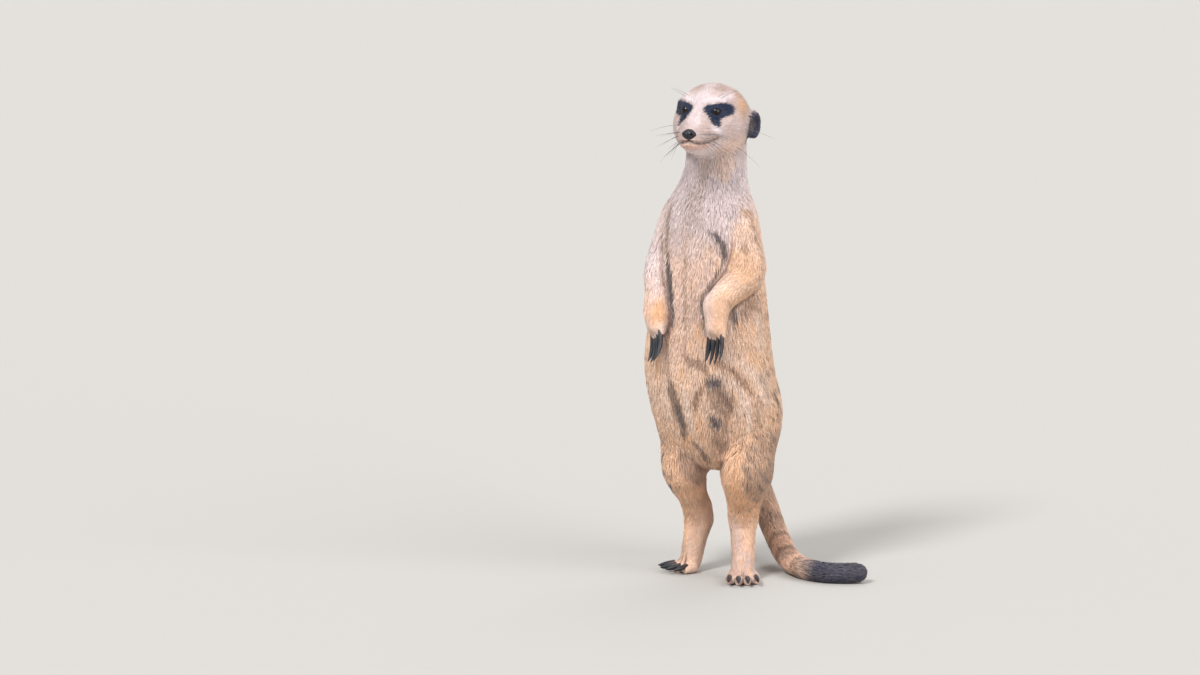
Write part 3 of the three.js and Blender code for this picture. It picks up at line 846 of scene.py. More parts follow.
        # Painted light on the right leg, which lies in shade, strongest below the calf.
        self._lay(colour, on * right * leg * below(Level.CALF, z), Wash.RIGHT_SHIN)
        self._lay(colour, on * right * leg, Wash.RIGHT_LEG)
        self._lay(colour, on * arm * ease(14, 24, aside) * below(Level.SHOULDER, z), Wash.LEFT_ARM)
        patch = bell(oval(z + 2 * wander, aside, (173, -19), (9.5, 6.0)), 1.0)
        self._lay(colour, on * right * patch * ease(-0.2, 0.4, -normals[:, 1]), Wash.RIGHT_WRIST)
        wrist = above(Level.WRIST, z + 2 * wander) * below(Level.FOREARM_TOP, z) * arm
        self._lay(colour, on * wrist * ease(-0.1, 0.6, outwards), Wash.WRIST)
        # Painted shade, rust, on the downward faces of the arms above the wrists.
        underside_shade = ease(0.1, 0.8, -normals[:, 2]) * arm * above(Level.FOREARM, z)
        self._lay(colour, on * underside_shade, Wash.UNDER_ARM)
        upper = ease(0.2, 0.9, outwards) * arm * above(Level.ELBOW, z)
        self._lay(colour, on * upper * np.where(right, 0.1, 0.4), Wash.UPPER_ARM)
        shin = leg * above(Level.FOOT_TOP, z + 3 * wander) * below(Level.SHIN_TOP, z)
        self._lay(colour, on * shin * ease(-0.2, 0.6, outwards), Wash.SHIN)
        # Painted shade down the outer side of the thighs, mostly the left.
        outer = ease(0.0, 0.6, outwards) * leg * above(Level.THIGH_FOOT, z + 3 * wander)
        self._lay(colour, on * outer * np.where(right, 0.1, 0.85), Wash.OUTER_THIGH)
        self._lay(colour, on * ease(0.0, 0.7, normals[:, 1]) * leg * above(Level.HEEL, z), Wash.BACK_OF_LEG)
        # Short dark dashes that fall steeply back round the outside of the thigh.
        slope = 0.77 * (0.75 * np.abs(aside) + 0.6 * points[:, 1]) + 0.64 * z + 1.2 * wander
        dashes = bands(slope, self.thigh_dashes, 0.1) * leg * above(Level.SHIN_DASHES, z)
        broken = ease(-0.35, 0.35, ripple(points, 12, 5))
        self._lay(colour, on * dashes * broken * ease(-0.1, 0.5, outwards), Wash.DASH)

    def _tail(self, points: Array, colour: Array, on: Array) -> None:
        """Dark rings down the tail and a black end."""
        run, _ = along_line(points, self.tail)
        total = stretches(self.tail).sum()
        run = run + 2.0 * ripple(points, 16, 4)
        rings = bands(run, self.ring_spacing, 0.2, 0.85) * ease(14, 34, run)
        self._lay(colour, on * rings, Wash.TAIL_RING)
        dusky = between(run, (24, 56), (64, 86)) * (0.6 + 0.4 * ripple(points, 9, 18))
        self._lay(colour, on * dusky, Wash.TAIL_ROOT)
        blotch = bell(run - (total - 62), 5.0) * ease(-0.6, 0.4, ripple(points, 10, 17))
        self._lay(colour, on * blotch, Wash.TAIL_BLOTCH)
        self._lay(colour, on * ease(total - 53, total - 34, run), Wash.TAIL_TIP)

    def _face(self, h: Array, colour: Array, on: Array) -> None:
        """Dark eye patches with tear marks, white brow and blaze, tan cheeks and a dusky crown."""
        x, y, z = np.abs(h[:, 0]), h[:, 1], h[:, 2]
        wander = ripple(h, 11, 6)
        crown = ease(6, 15, z + 1.5 * wander) * ease(-20, -6, y) * (0.7 + 0.5 * ripple(h, 8, 7))
        self._lay(colour, on * crown, Wash.CROWN)
        self._lay(colour, on * ease(8, 22, y + 2 * wander), Wash.NAPE)
        # The jaw and chin are pale, and paler still as painted light against the shadow under the head.
        self._lay(colour, on * ease(-10, -16, z + 2 * wander), Wash.JAW)
        cheek = ease(-24, -12, y) * ease(-3, -13, z + 2 * wander) * ease(5, 10, x)
        self._lay(colour, on * cheek, Wash.CHEEK)
        muzzle = bell(oval(y, z, (-30, -8), (8, 5)), 1.0) * ease(3, 6, x)
        self._lay(colour, on * muzzle, Wash.MUZZLE)
        self._lay(colour, on * bell(z + 12.0, 1.7) * ease(-20, -28, y), Wash.UPPER_LIP)
        # Round the eye, places are measured from its middle back towards the ear, and up.
        toward_ear = (x - self.eye[0]) * self.to_ear[0] + (y - self.eye[1]) * self.to_ear[1]
        rise = z - self.eye[2]
        self._lay(colour, on * bell(toward_ear - 20.5, 4.6) * bell(rise - 3.6, 6.5), Wash.TEMPLE)
        brow = bell(rise - 7.0 - 0.17 * toward_ear, 2.1) * between(toward_ear, (-10, -5), (13, 19))
        self._lay(colour, on * brow, Wash.BROW)
        blaze = (1 - ease(2.6, 5.4, x + 0.8 * wander)) * ease(-40, -34, y) * ease(6, -6, y) * ease(-7, -2, z)
        self._lay(colour, on * blaze, Wash.BLAZE)
        streak = bell(toward_ear + 1.5, 5.0) * bell(rise + 11.6 + 0.2 * toward_ear, 1.7)
        self._lay(colour, on * streak, Wash.UNDER_EYE)
        self._lay(colour, on * bell(z + 16.2, 1.5) * ease(-24, -30, y), Wash.LOWER_LIP)
        lips = np.interp(x, LIPS[:, 0], LIPS[:, 2])
        mouth = bell(z - lips - 0.3, 0.8) * ease(-21, -24, y) * (1 - ease(12.0, 13.4, x))
        self._lay(colour, on * mouth, Wash.MOUTH)
        # The ear is dark but for its rim and its outer edge, left pale as a painted highlight.
        ear = oval(y, z, (11.6, -3.6), (8.4, 9.3)) + 0.04 * wander
        within = (1 - ease(0.92, 1.02, ear)) * ease(17.4, 18.8, x) * (1 - 0.6 * ease(27.4, 28.6, x))
        self._lay(colour, within, Wash.EAR)
        cup = oval(y, z, (9.0, -2.8), (3.6, 5.2))
        self._lay(colour, (1 - ease(0.5, 1.1, cup)) * ease(19, 21, x), Wash.EAR_CUP)
        slant = rise - 0.3 - 0.1 * toward_ear
        patch = oval(toward_ear, slant, (2.4, 0.0), (11.0, 4.9)) + 0.04 * wander
        tear = oval(toward_ear + 0.12 * rise, rise, (-1.8, -4.8), (4.0, 5.4)) + 0.04 * wander
        mask = np.maximum(1 - ease(0.88, 1.06, patch), 1 - ease(0.86, 1.08, tear))
        self._lay(colour, on * mask, Wash.MASK)


# ---- skin


# The rolled edge of the lids, from the inside out: how far over the opening, and how high over the ball.
LID_ROWS = ((0.9, -0.3), (0.96, 0.06), (1.0, 0.27), (1.05, 0.42), (1.13, 0.47), (1.24, 0.36), (1.42, -0.2))


@dataclass
class Eye:
    """One eye: where it sits in the head, its ball and the opening between its lids."""

    side: str
    head: HeadAxes
    radius: float = 4.6
    sunk: float = 0.1
    bulge: float = 0.42
    set_back: float = 1.5
    out: float = 35.0
    up: float = 4.0
    half_width: float = 44.0
    half_height: float = 33.0
    lid: float = 0.3
    rim: float = 1.14
    fall: float = 0.16
    socket: float = 1.2
    around: int = 72

    def __post_init__(self) -> None:
        """Find the eye's middle and the three directions that its opening is measured by."""
        sign = 1.0 if self.side == "left" else -1.0
        out = math.radians(self.out)
        gaze = heading(sign * self.out, self.up)
        back = unit(np.array([sign * math.cos(out), math.sin(out), 0.14]))
        back = unit(back - gaze * (gaze @ back))
        rise = np.cross(gaze, back) * -sign
        self.gaze, self.back, self.rise = self.head.turn(np.array([gaze, back, rise]))
        self.centre = middle(f"eye_{self.side}") - self.set_back * self.gaze

    def measure(self, points: Array) -> tuple[Array, Array, Array]:
        """Place points against the opening of the lids.

        Args:
            points: Points in millimetres.

        Returns:
            Their distance from the eye's middle, their place over the opening, where 1 is its edge, and how
            far round the opening they are, in radians from the back corner.
        """
        away = points - self.centre
        distance = np.linalg.norm(away, axis=1)
        ahead = away @ self.gaze
        a = np.degrees(np.arctan2(away @ self.back, ahead))
        b = np.degrees(np.arctan2(away @ self.rise, ahead))
        turn = np.arctan2(b / self.half_height, a / self.half_width)
        reach = np.hypot(b / self.half_height, a / self.half_width)
        return distance, reach / self.corner(turn), turn

    def edge(self, turn: Array) -> Array:
        """The angle from the gaze to the edge of the opening at each turn, in radians."""
        wide, high = math.radians(self.half_width), math.radians(self.half_height)
        return np.hypot(wide * np.cos(turn), high * np.sin(turn)) * self.corner(turn)

    @staticmethod
    def corner(turn: Array) -> Array:
        """How far the opening reaches at each turn, drawn out to a point at the inner corner."""
        inner = np.abs(np.abs(turn) - math.pi)
        return 1.0 + 0.2 * bell(inner, 0.42) + 0.08 * bell(turn, 0.4)

    def lid_ring(self) -> Form:
        """Build the rolled edge of the lids.

        Returns:
            Its points in millimetres and its triangles.
        """
        turns = np.linspace(0, 2 * math.pi, self.around, endpoint=False)
        turns = (turns + math.pi) % (2 * math.pi) - math.pi
        rows = []
        for reach, lift in LID_ROWS:
            a = np.radians(self.half_width * reach * self.corner(turns) * np.cos(turns))
            b = np.radians(self.half_height * reach * self.corner(turns) * np.sin(turns))
            ways = unit(self.gaze[None] + np.outer(np.tan(a), self.back) + np.outer(np.tan(b), self.rise))
            rows.append(self.centre + ways * (self.radius + lift))
        points = np.vstack(rows)
        faces = tube(len(LID_ROWS), self.around)
        a, b, c = (points[faces[:, k]] for k in range(3))
        outwards = np.einsum("ij,j->i", np.cross(b - a, c - a), self.gaze).sum()
        return points, faces if outwards > 0 else faces[:, ::-1]

    def build(self, material: bpy.types.Material) -> bpy.types.Object:
        """Build the eyeball, with a clear bulge over the iris.

        Args:
            material: The glossy finish of the eye.

        Returns:
            The eye's object.
        """
        name = f"eyeball_{self.side}"
        surface = new_ball(name, bmesh.ops.create_uvsphere, u_segments=64, v_segments=48)
        mesh = surface.mesh
        ways = unit(surface.points)
        turned = ways[:, [2]] * self.gaze + ways[:, [0]] * self.back + ways[:, [1]] * self.rise
        angle = np.degrees(np.arccos(np.clip(ways[:, 2], -1, 1)))
        radius = self.radius - self.sunk + self.bulge * (1 - ease(12, 44, angle))
        surface.points = self.centre + turned * radius[:, None]
        surface.write()
        if np.linalg.det(np.array([self.back, self.rise, self.gaze])) < 0:
            mesh.flip_normals()
        # The rings are measured round the gaze; behind the eye's middle they are past the outermost one.
        pupil = np.hypot(ways[:, 0] * 0.8, ways[:, 1])
        iris = np.hypot(ways[:, 0], ways[:, 1])
        hidden = np.where(ways[:, 2] < 0, 2.0, 0.0)
        set_colours(mesh, "rings", pupil + hidden, iris + hidden)
        return place(name, mesh, "eye", material, f"eye_{self.side}")


@dataclass
class Skin:
    """The one skin under the coat: solids joined, drawn in by the coat's depth, then sculpted."""

    head: HeadAxes
    marks: Markings
    eyes: list[Eye]
    voxel: float = 1.5
    swell: float = 0.38
    lip_depth: float = 1.4
    lip_roll: float = 0.4
    philtrum_depth: float = 0.5
    cleft_depth: float = 1.5
    seam_depth: float = 1.3
    nose_seat: float = 2.6
    shoulder: Stretch = ((206, 224), (248, 262))
    elbow: Stretch = ((172, 182), (204, 212))
    hip: Stretch = ((78, 90), (118, 134))
    knee: Stretch = ((26, 34), (62, 72))
    arm_top: tuple[float, float] = (216, 230)
    ear_cup: tuple[float, float, float] = (27.9, 8.2, -3.1)
    ear_cup_half: tuple[float, float, float] = (5.4, 5.2, 7.2)

    def __post_init__(self) -> None:
        """Build the surface and everything that the coat needs to know about it."""
        solids = [solid_mesh(name) for name in NODES]
        balls = [solid_mesh(name) for name in ("nose", "eye_left", "eye_right")]
        self.surface = Surface(self._refine(self._join(solids + balls)))
        self.surface.relax(6)
        self._find_nodes(solids)
        self._melt_joins()
        self._set_lie()
        self._draw_in()
        self.mouth = self._mouth_line()
        self._sculpt()
        self.normals = self.surface.normals()
        self._set_flow()
        self._shade_hollows()

    def _join(self, solids: list[Form]) -> bpy.types.Mesh:
        """Join the swollen solids into one closed mesh of small squares."""
        swollen = [(points + self.swell * point_normals(points, faces), faces) for points, faces in solids]
        rough = add_object("rough", write_mesh("rough", *stack(swollen)))
        remesh = rough.modifiers.new("close", "REMESH")
        remesh.mode = "VOXEL"
        remesh.voxel_size = self.voxel * MM
        graph = bpy.context.evaluated_depsgraph_get()
        mesh = bpy.data.meshes.new_from_object(rough.evaluated_get(graph), depsgraph=graph)
        bpy.data.objects.remove(rough)
        LOG.info("joined skin: %d faces", len(mesh.polygons))
        return mesh

    def _refine(self, mesh: bpy.types.Mesh) -> bpy.types.Mesh:
        """Split the faces of the head, hands and feet, and again round the eyes and on the muzzle."""
        work = bmesh.new()
        work.from_mesh(mesh)
        for choose in (self._detailed, self._finest):
            work.faces.ensure_lookup_table()
            chosen = choose(np.array([face.calc_center_median() for face in work.faces]) / MM)
            edges = {edge for face, pick in zip(work.faces, chosen) if pick for edge in face.edges}
            bmesh.ops.subdivide_edges(work, edges=list(edges), cuts=1, use_grid_fill=True)
        work.to_mesh(mesh)
        work.free()
        LOG.info("refined skin: %d faces", len(mesh.polygons))
        return mesh

    def _detailed(self, places: Array) -> Array:
        """Choose the places on the face, the hands and the feet."""
        h = self.head.local(places)
        chosen = (np.linalg.norm(h * [1, 0.75, 1], axis=1) < 31) & (h[:, 2] > -26) & (h[:, 1] < 22)
        for claw in claw_middles():
            chosen |= np.linalg.norm(places - claw, axis=1) < 13
        return chosen

    def _finest(self, places: Array) -> Array:
        """Choose the places on the muzzle, along the lips and round the eyes."""
        h = self.head.local(places)
        chosen = (h[:, 1] < -29) & (np.linalg.norm(h, axis=1) < 60)
        chosen |= (h[:, 1] < -20) & (np.abs(h[:, 2] + 12.0) < 4.0) & (np.abs(h[:, 0]) > 6)
        for eye in self.eyes:
            chosen |= np.linalg.norm(places - eye.centre, axis=1) < 7.5
        return chosen

    def _find_nodes(self, solids: list[Form]) -> None:
        """Note which solid each point of the skin came from."""
        owner = np.repeat(np.arange(len(solids)), [len(faces) for _, faces in solids])
        points, triangles = stack(solids)
        tree = BVHTree.FromPolygons(points.tolist(), triangles.tolist())
        found = [tree.find_nearest(Vector(p))[2] for p in self.surface.points.tolist()]
        self.node = owner[np.array(found)]

    def _on(self, names: Iterable[str]) -> Array:
        """Mark the points that came from any of some solids."""
        return np.isin(self.node, [NODES.index(name) for name in names])

    def _set_lie(self) -> None:
        """Spread each part's coat over the skin, with short hair on the face."""
        self.lie = np.array([astuple(FLESH[name].value) for name in NODES])[self.node]
        h = self.head.local(self.surface.points)
        back = ease(-20, 14, h[:, 1]) * self._on(["head"])
        self.lie += back[:, None] * (np.array(astuple(Part.NAPE.value)) - self.lie)
        self.lie = self.surface.soften(self.lie, 26)
        gap = np.min([np.linalg.norm(self.surface.points - tip, axis=1) for tip in claw_middles()], axis=0)
        self.lie[:, :3] *= (0.55 + 0.45 * ease(7, 18, gap))[:, None]
        kinds = np.array([self._kind(name) for name in NODES])
        self.shares = self.surface.soften(kinds[self.node], 8)
        self.base = self.surface.soften(self.marks.base()[self.node], 60)

    def _melt_joins(self) -> None:
        """Smooth away the facets of the large forms and the steps where the limbs join the trunk."""
        surface = self.surface
        broad = np.array([name in TRUNK or FLESH[name] is Part.THIGH for name in NODES], dtype=float)
        surface.relax(40, surface.soften(broad[self.node], 4)[:, None])
        group = np.where([name in TRUNK for name in NODES], -1, np.arange(len(NODES)))[self.node]
        own = np.zeros(len(group))
        for number in np.unique(group):
            own = np.maximum(own, surface.soften((group == number).astype(float), 12))
        join = np.clip(2.4 * (1 - own), 0, 1)
        surface.relax(9, join[:, None], keep=0.0)
        z = surface.points[:, 2]
        aside = np.abs(self.marks.from_spine(surface.points)[:, 0])
        shoulder = between(z, *self.shoulder) * ease(8, 16, aside)
        surface.relax(130, shoulder[:, None], keep=0.0)
        elbow = join * between(z, *self.elbow) * ease(20, 26, aside)
        surface.relax(60, surface.soften(elbow, 6)[:, None], keep=0.0)
        self._fill(between(z, *self.hip), 260)
        knee = join * between(z, *self.knee)
        surface.relax(60, surface.soften(knee, 8)[:, None], keep=0.0)

    def _fill(self, where: Array, rounds: int) -> None:
        """Fill the hollows of one stretch of the body, and leave its swells as they are.

        Args:
            where: How much each point takes part, from 0 to 1.
            rounds: How far the filling spreads.
        """
        before, normals = self.surface.points.copy(), self.surface.normals()
        self.surface.relax(rounds, where[:, None], keep=0.0)
        rise = np.sum((self.surface.points - before) * normals, axis=1)
        self.surface.points = before + np.maximum(rise, 0.0)[:, None] * normals
        self.surface.relax(8, where[:, None])

    @staticmethod
    def _kind(name: str) -> tuple[bool, bool, bool, bool]:
        """Say whether a solid belongs to the head, the trunk, a limb or the tail; an ear is none of them."""
        part = FLESH[name]
        head, trunk, tail = part is Part.HEAD, name in TRUNK, part is Part.TAIL
        return head, trunk, not (head or trunk or tail or part is Part.EAR), tail

    def _draw_in(self) -> None:
        """Draw the skin in by the coat's depth, a little at a time."""
        steps = 4
        for _ in range(steps):
            way = self.surface.soften(self.surface.normals(), 3)
            self.surface.points -= (0.8 * self.lie[:, :1] + self.swell) / steps * unit(way)
            self.surface.relax(2)

    def _mouth_line(self) -> Array:
        """The line of the lips on each side, laid onto the skin, from the middle to the corner."""
        tree = self.surface.tree()
        sides = [self.head.model(LIPS * [sign, 1, 1]) for sign in (1, -1)]
        return np.array([[tree.find_nearest(Vector(spot))[0] for spot in spots] for spots in sides])

    def _sculpt(self) -> None:
        """Shape the sockets and lids, the lips, the ear cups and the clefts between the digits."""
        surface = self.surface
        normals = surface.normals()
        h = self.head.local(surface.points)
        lips = np.min([along_line(surface.points, line)[1] for line in self.mouth], axis=0)
        philtrum = bell(h[:, 0], 0.5) * ease(-37, -39, h[:, 1])
        philtrum *= ease(-11, -12, h[:, 2]) * ease(-15, -13.8, h[:, 2])
        self.cleft = self._clefts()
        # Painted shade along the lips, down the philtrum and in the clefts between the digits, where the skin
        # darkens.
        self.groove_shade = np.maximum(bell(lips, 1.15), 0.8 * philtrum)
        self.groove_shade = np.maximum(self.groove_shade, 0.8 * self.cleft)
        shift = self.lip_roll * bell(lips - 2.0, 0.9) - self.lip_depth * bell(lips, 0.85)
        shift -= self.philtrum_depth * philtrum + self.cleft_depth * self.cleft
        shift -= self.seam_depth * self._seam()
        surface.points += shift[:, None] * normals
        self._ear_cups()
        for eye in self.eyes:
            self._socket(eye)
        nose = h - self.head.local(middle("nose")[None])
        face_on = oval(nose[:, 0], nose[:, 2], (0.0, 0.0), (4.5, 3.5))
        pull = (1 - ease(0.7, 1.0, face_on)) * (nose[:, 1] < 1)
        surface.points += (pull * self.nose_seat)[:, None] * self.head.axes[1]

    def _ear_cups(self) -> None:
        """Hollow the cup of each ear, which opens forwards and out."""
        h = self.head.local(self.surface.points)
        for sign in (1, -1):
            away = h - np.array(self.ear_cup) * [sign, 1, 1]
            size = np.maximum(np.linalg.norm(away / np.array(self.ear_cup_half), axis=1), 0.35)
            out = np.where((size < 1) & (h[:, 1] > 2), 1 / size, 1.0)[:, None]
            h += away * (out - 1)
        self.surface.points = self.head.model(h)

    def _clefts(self) -> Array:
        """How deep each point lies in a cleft between two fingers or toes."""
        depth = np.zeros(len(self.surface.points))
        for side in SIDES:
            for limb, inner, reach, deep in (("hand", "forearm", 9.0, 0.35), ("foot", "shank", 13.0, 1.0)):
                wrist = meeting(f"{limb}_{side}", f"{inner}_{side}")
                roots = []
                for node in claw_nodes(limb, side):
                    claw = solid_mesh(node)[0]
                    nearest = np.argsort(np.linalg.norm(claw - wrist, axis=1))[:6]
                    roots.append(claw[nearest].mean(axis=0))
                for first, second in zip(roots[:-1], roots[1:]):
                    start = (first + second) / 2
                    way = unit(wrist - start)
                    if limb == "foot":
                        way = unit(way * [1, 1, 0.15])
                    away = self.surface.points - start
                    run, beside = away @ way, np.abs(away @ unit(second - first))
                    near = np.linalg.norm(away, axis=1) < reach + 5
                    ends = between(run, (-5, -1), (reach * 0.6, reach))
                    depth = np.maximum(depth, deep * near * bell(beside, 0.6) * ends)
        return depth

    def _socket(self, eye: Eye) -> None:
        """Bring the skin up round the eyeball to the edge of the lids, and sink it behind the opening."""
        surface = self.surface
        away = surface.points - eye.centre
        ahead = away @ eye.gaze
        beside = np.linalg.norm(away - ahead[:, None] * eye.gaze, axis=1)
        _, _, turn = eye.measure(surface.points)
        # The rim stands a little outside the opening, and the skin falls away from it.
        edge = eye.edge(turn) * eye.rim
        start = (eye.radius + eye.lid) * np.sin(edge)
        level = (eye.radius + eye.lid) * np.cos(edge) - eye.fall * np.maximum(beside - start, 0) ** 1.3
        front = ahead > -4
        raised = np.maximum(level - ahead, 0) * (1 - ease(6.0, 10.0, beside))
        surface.points += (raised * front * (beside > start * 0.8))[:, None] * eye.gaze
        soft = front * ease(0.9, 1.3, beside / start) * (1 - ease(9, 12, beside))
        surface.relax(12, soft[:, None], keep=0.0)
        distance, reach, _ = eye.measure(surface.points)
        away = surface.points - eye.centre
        inside = (1 - ease(0.98, 1.1, reach)) * (away @ eye.gaze > -1.5) * (distance < eye.radius + 7)
        goal = distance + inside * (eye.radius - eye.socket - distance)
        lids = between(reach, (1.0, 1.1), (1.25, 1.5)) * (away @ eye.gaze > 0)
        goal = goal + lids * (np.maximum(goal, eye.radius + eye.lid) - goal)
        surface.points = eye.centre + away * (goal / np.maximum(distance, 1e-6))[:, None]

    def _shade_hollows(self) -> None:
        """Note how deep each point lies in a fold, where the coat closes over itself, for the shade painted
        there.
        """
        broad = self.surface.soften(self.surface.points, 14) - self.surface.points
        depth = np.sum(broad * self.normals, axis=1)
        body = 1 - self.shares[:, 0]
        fold = np.maximum(ease(0.12, 0.9, depth), self._seam())
        self.fold_shade = self.surface.soften(np.maximum(fold, self.cleft) * body, 1)

    def _seam(self) -> Array:
        """How near each point is to the line where an arm lies against the trunk, below the shoulder."""
        arms = self._on(f"{name}_{side}" for name in ARM for side in SIDES)
        share = self.surface.soften(arms.astype(float), 5)
        return (4 * share * (1 - share)) ** 3 * (1 - ease(*self.arm_top, self.surface.points[:, 2]))

    def _set_flow(self) -> None:
        """Point the hair: back from the nose, down the trunk, along the limbs and the tail."""
        points = self.surface.points
        ways = np.tile([0.0, 0.0, -1.0], (len(points), 1))
        for root, chain in (("chest", ARM), ("hips", LEG)):
            for side in SIDES:
                parts = [f"{name}_{side}" for name in chain]
                claws = np.mean([middle(node) for node in claw_nodes(chain[-1], side)], axis=0)
                stops = [meeting(parts[0], root), *map(meeting, parts[:-1], parts[1:]), claws]
                for part, start, end in zip(parts, stops[:-1], stops[1:]):
                    way = unit(end - start)
                    if part.startswith("thigh"):
                        way = unit(0.25 * way + np.array([0, 0.12, -1.0]))
                    if part.startswith("upper_arm"):
                        way = unit(way + np.array([0, 0, -0.8]))
                    ways[self._on([part])] = way
        tail = self.marks.tail
        run, _ = along_line(points, tail)
        stretch = np.clip(np.searchsorted(np.cumsum(stretches(tail)), run), 0, len(tail) - 2)
        on_tail = self._on(TAIL)
        ways[on_tail] = unit(np.diff(tail, axis=0))[stretch[on_tail]]
        h = self.head.local(points)
        from_nose = unit(h - np.array([0, -43.0, -4.0]))
        later = ease(-24, 16, h[:, 1])[:, None]
        swept = unit(from_nose * (1 - later) + later * np.array([0.0, 0.7, -0.75]))
        on_head = self._on(["head", "ear_left", "ear_right"])
        ways[on_head] = self.head.turn(swept)[on_head]
        ways = self.surface.soften(ways, 30)
        ways -= self.normals * np.sum(ways * self.normals, axis=1, keepdims=True)
        self.flow = unit(ways)

    def build(self, material: bpy.types.Material) -> bpy.types.Object:
        """Write the skin with its markings and the rolled edges of the lids.

        Args:
            material: The skin's finish.

        Returns:
            The skin's object.
        """
        surface = self.surface
        surface.points[:, 2] = np.maximum(surface.points[:, 2], 0.0)
        surface.write()
        colour = self.marks.paint(surface.points, self.normals, self.base, self.shares)
        # Painted shade in the folds, along the arms' seams and in the clefts between the digits.
        self.marks.paint_fold_shade(colour, self.fold_shade)
        rings = stack([eye.lid_ring() for eye in self.eyes])
        work = bmesh.new()
        work.from_mesh(surface.mesh)
        made = [work.verts.new(p) for p in (rings[0] * MM).tolist()]
        for face in rings[1].tolist():
            work.faces.new([made[n] for n in face])
        work.to_mesh(surface.mesh)
        work.free()
        extra = len(made)
        colour = np.vstack([colour, np.tile([0.0, 0.0, 0.0, 1.0, 0.0], (extra, 1))])
        groove_shade = np.concatenate([self.groove_shade, np.zeros(extra)])
        set_colours(surface.mesh, "marks", *colour.T[:4])
        set_colours(surface.mesh, "strand", colour[:, 4], groove_shade)
        smooth(surface.mesh)
        return place("skin", surface.mesh, "coat_fawn", material, *NODES)


# ---- coat


@dataclass
class CoatPiece:
    """One piece of the coat: the solids it covers and which side of the trunk it takes."""

    name: str
    slot: str
    nodes: tuple[str, ...]
    facing: float = 0.0


# A tuft's points are three round its root, three round its middle and its tip; these are its triangles.
TUFT_SIDES = [[0, 1, 4], [0, 4, 3], [1, 2, 5], [1, 5, 4], [2, 0, 3], [2, 3, 5]]
TUFT = np.array(TUFT_SIDES + [[3, 4, 6], [4, 5, 6], [5, 3, 6], [0, 2, 1]])
TUFT_RUN = (0.0, 0.0, 0.0, 0.5, 0.5, 0.5, 1.0)
TUFT_MAP = np.array([[-1, -1], [1, -1], [0, -1], [-1, 0], [1, 0], [0, 0], [0, 1]]) * 0.0015


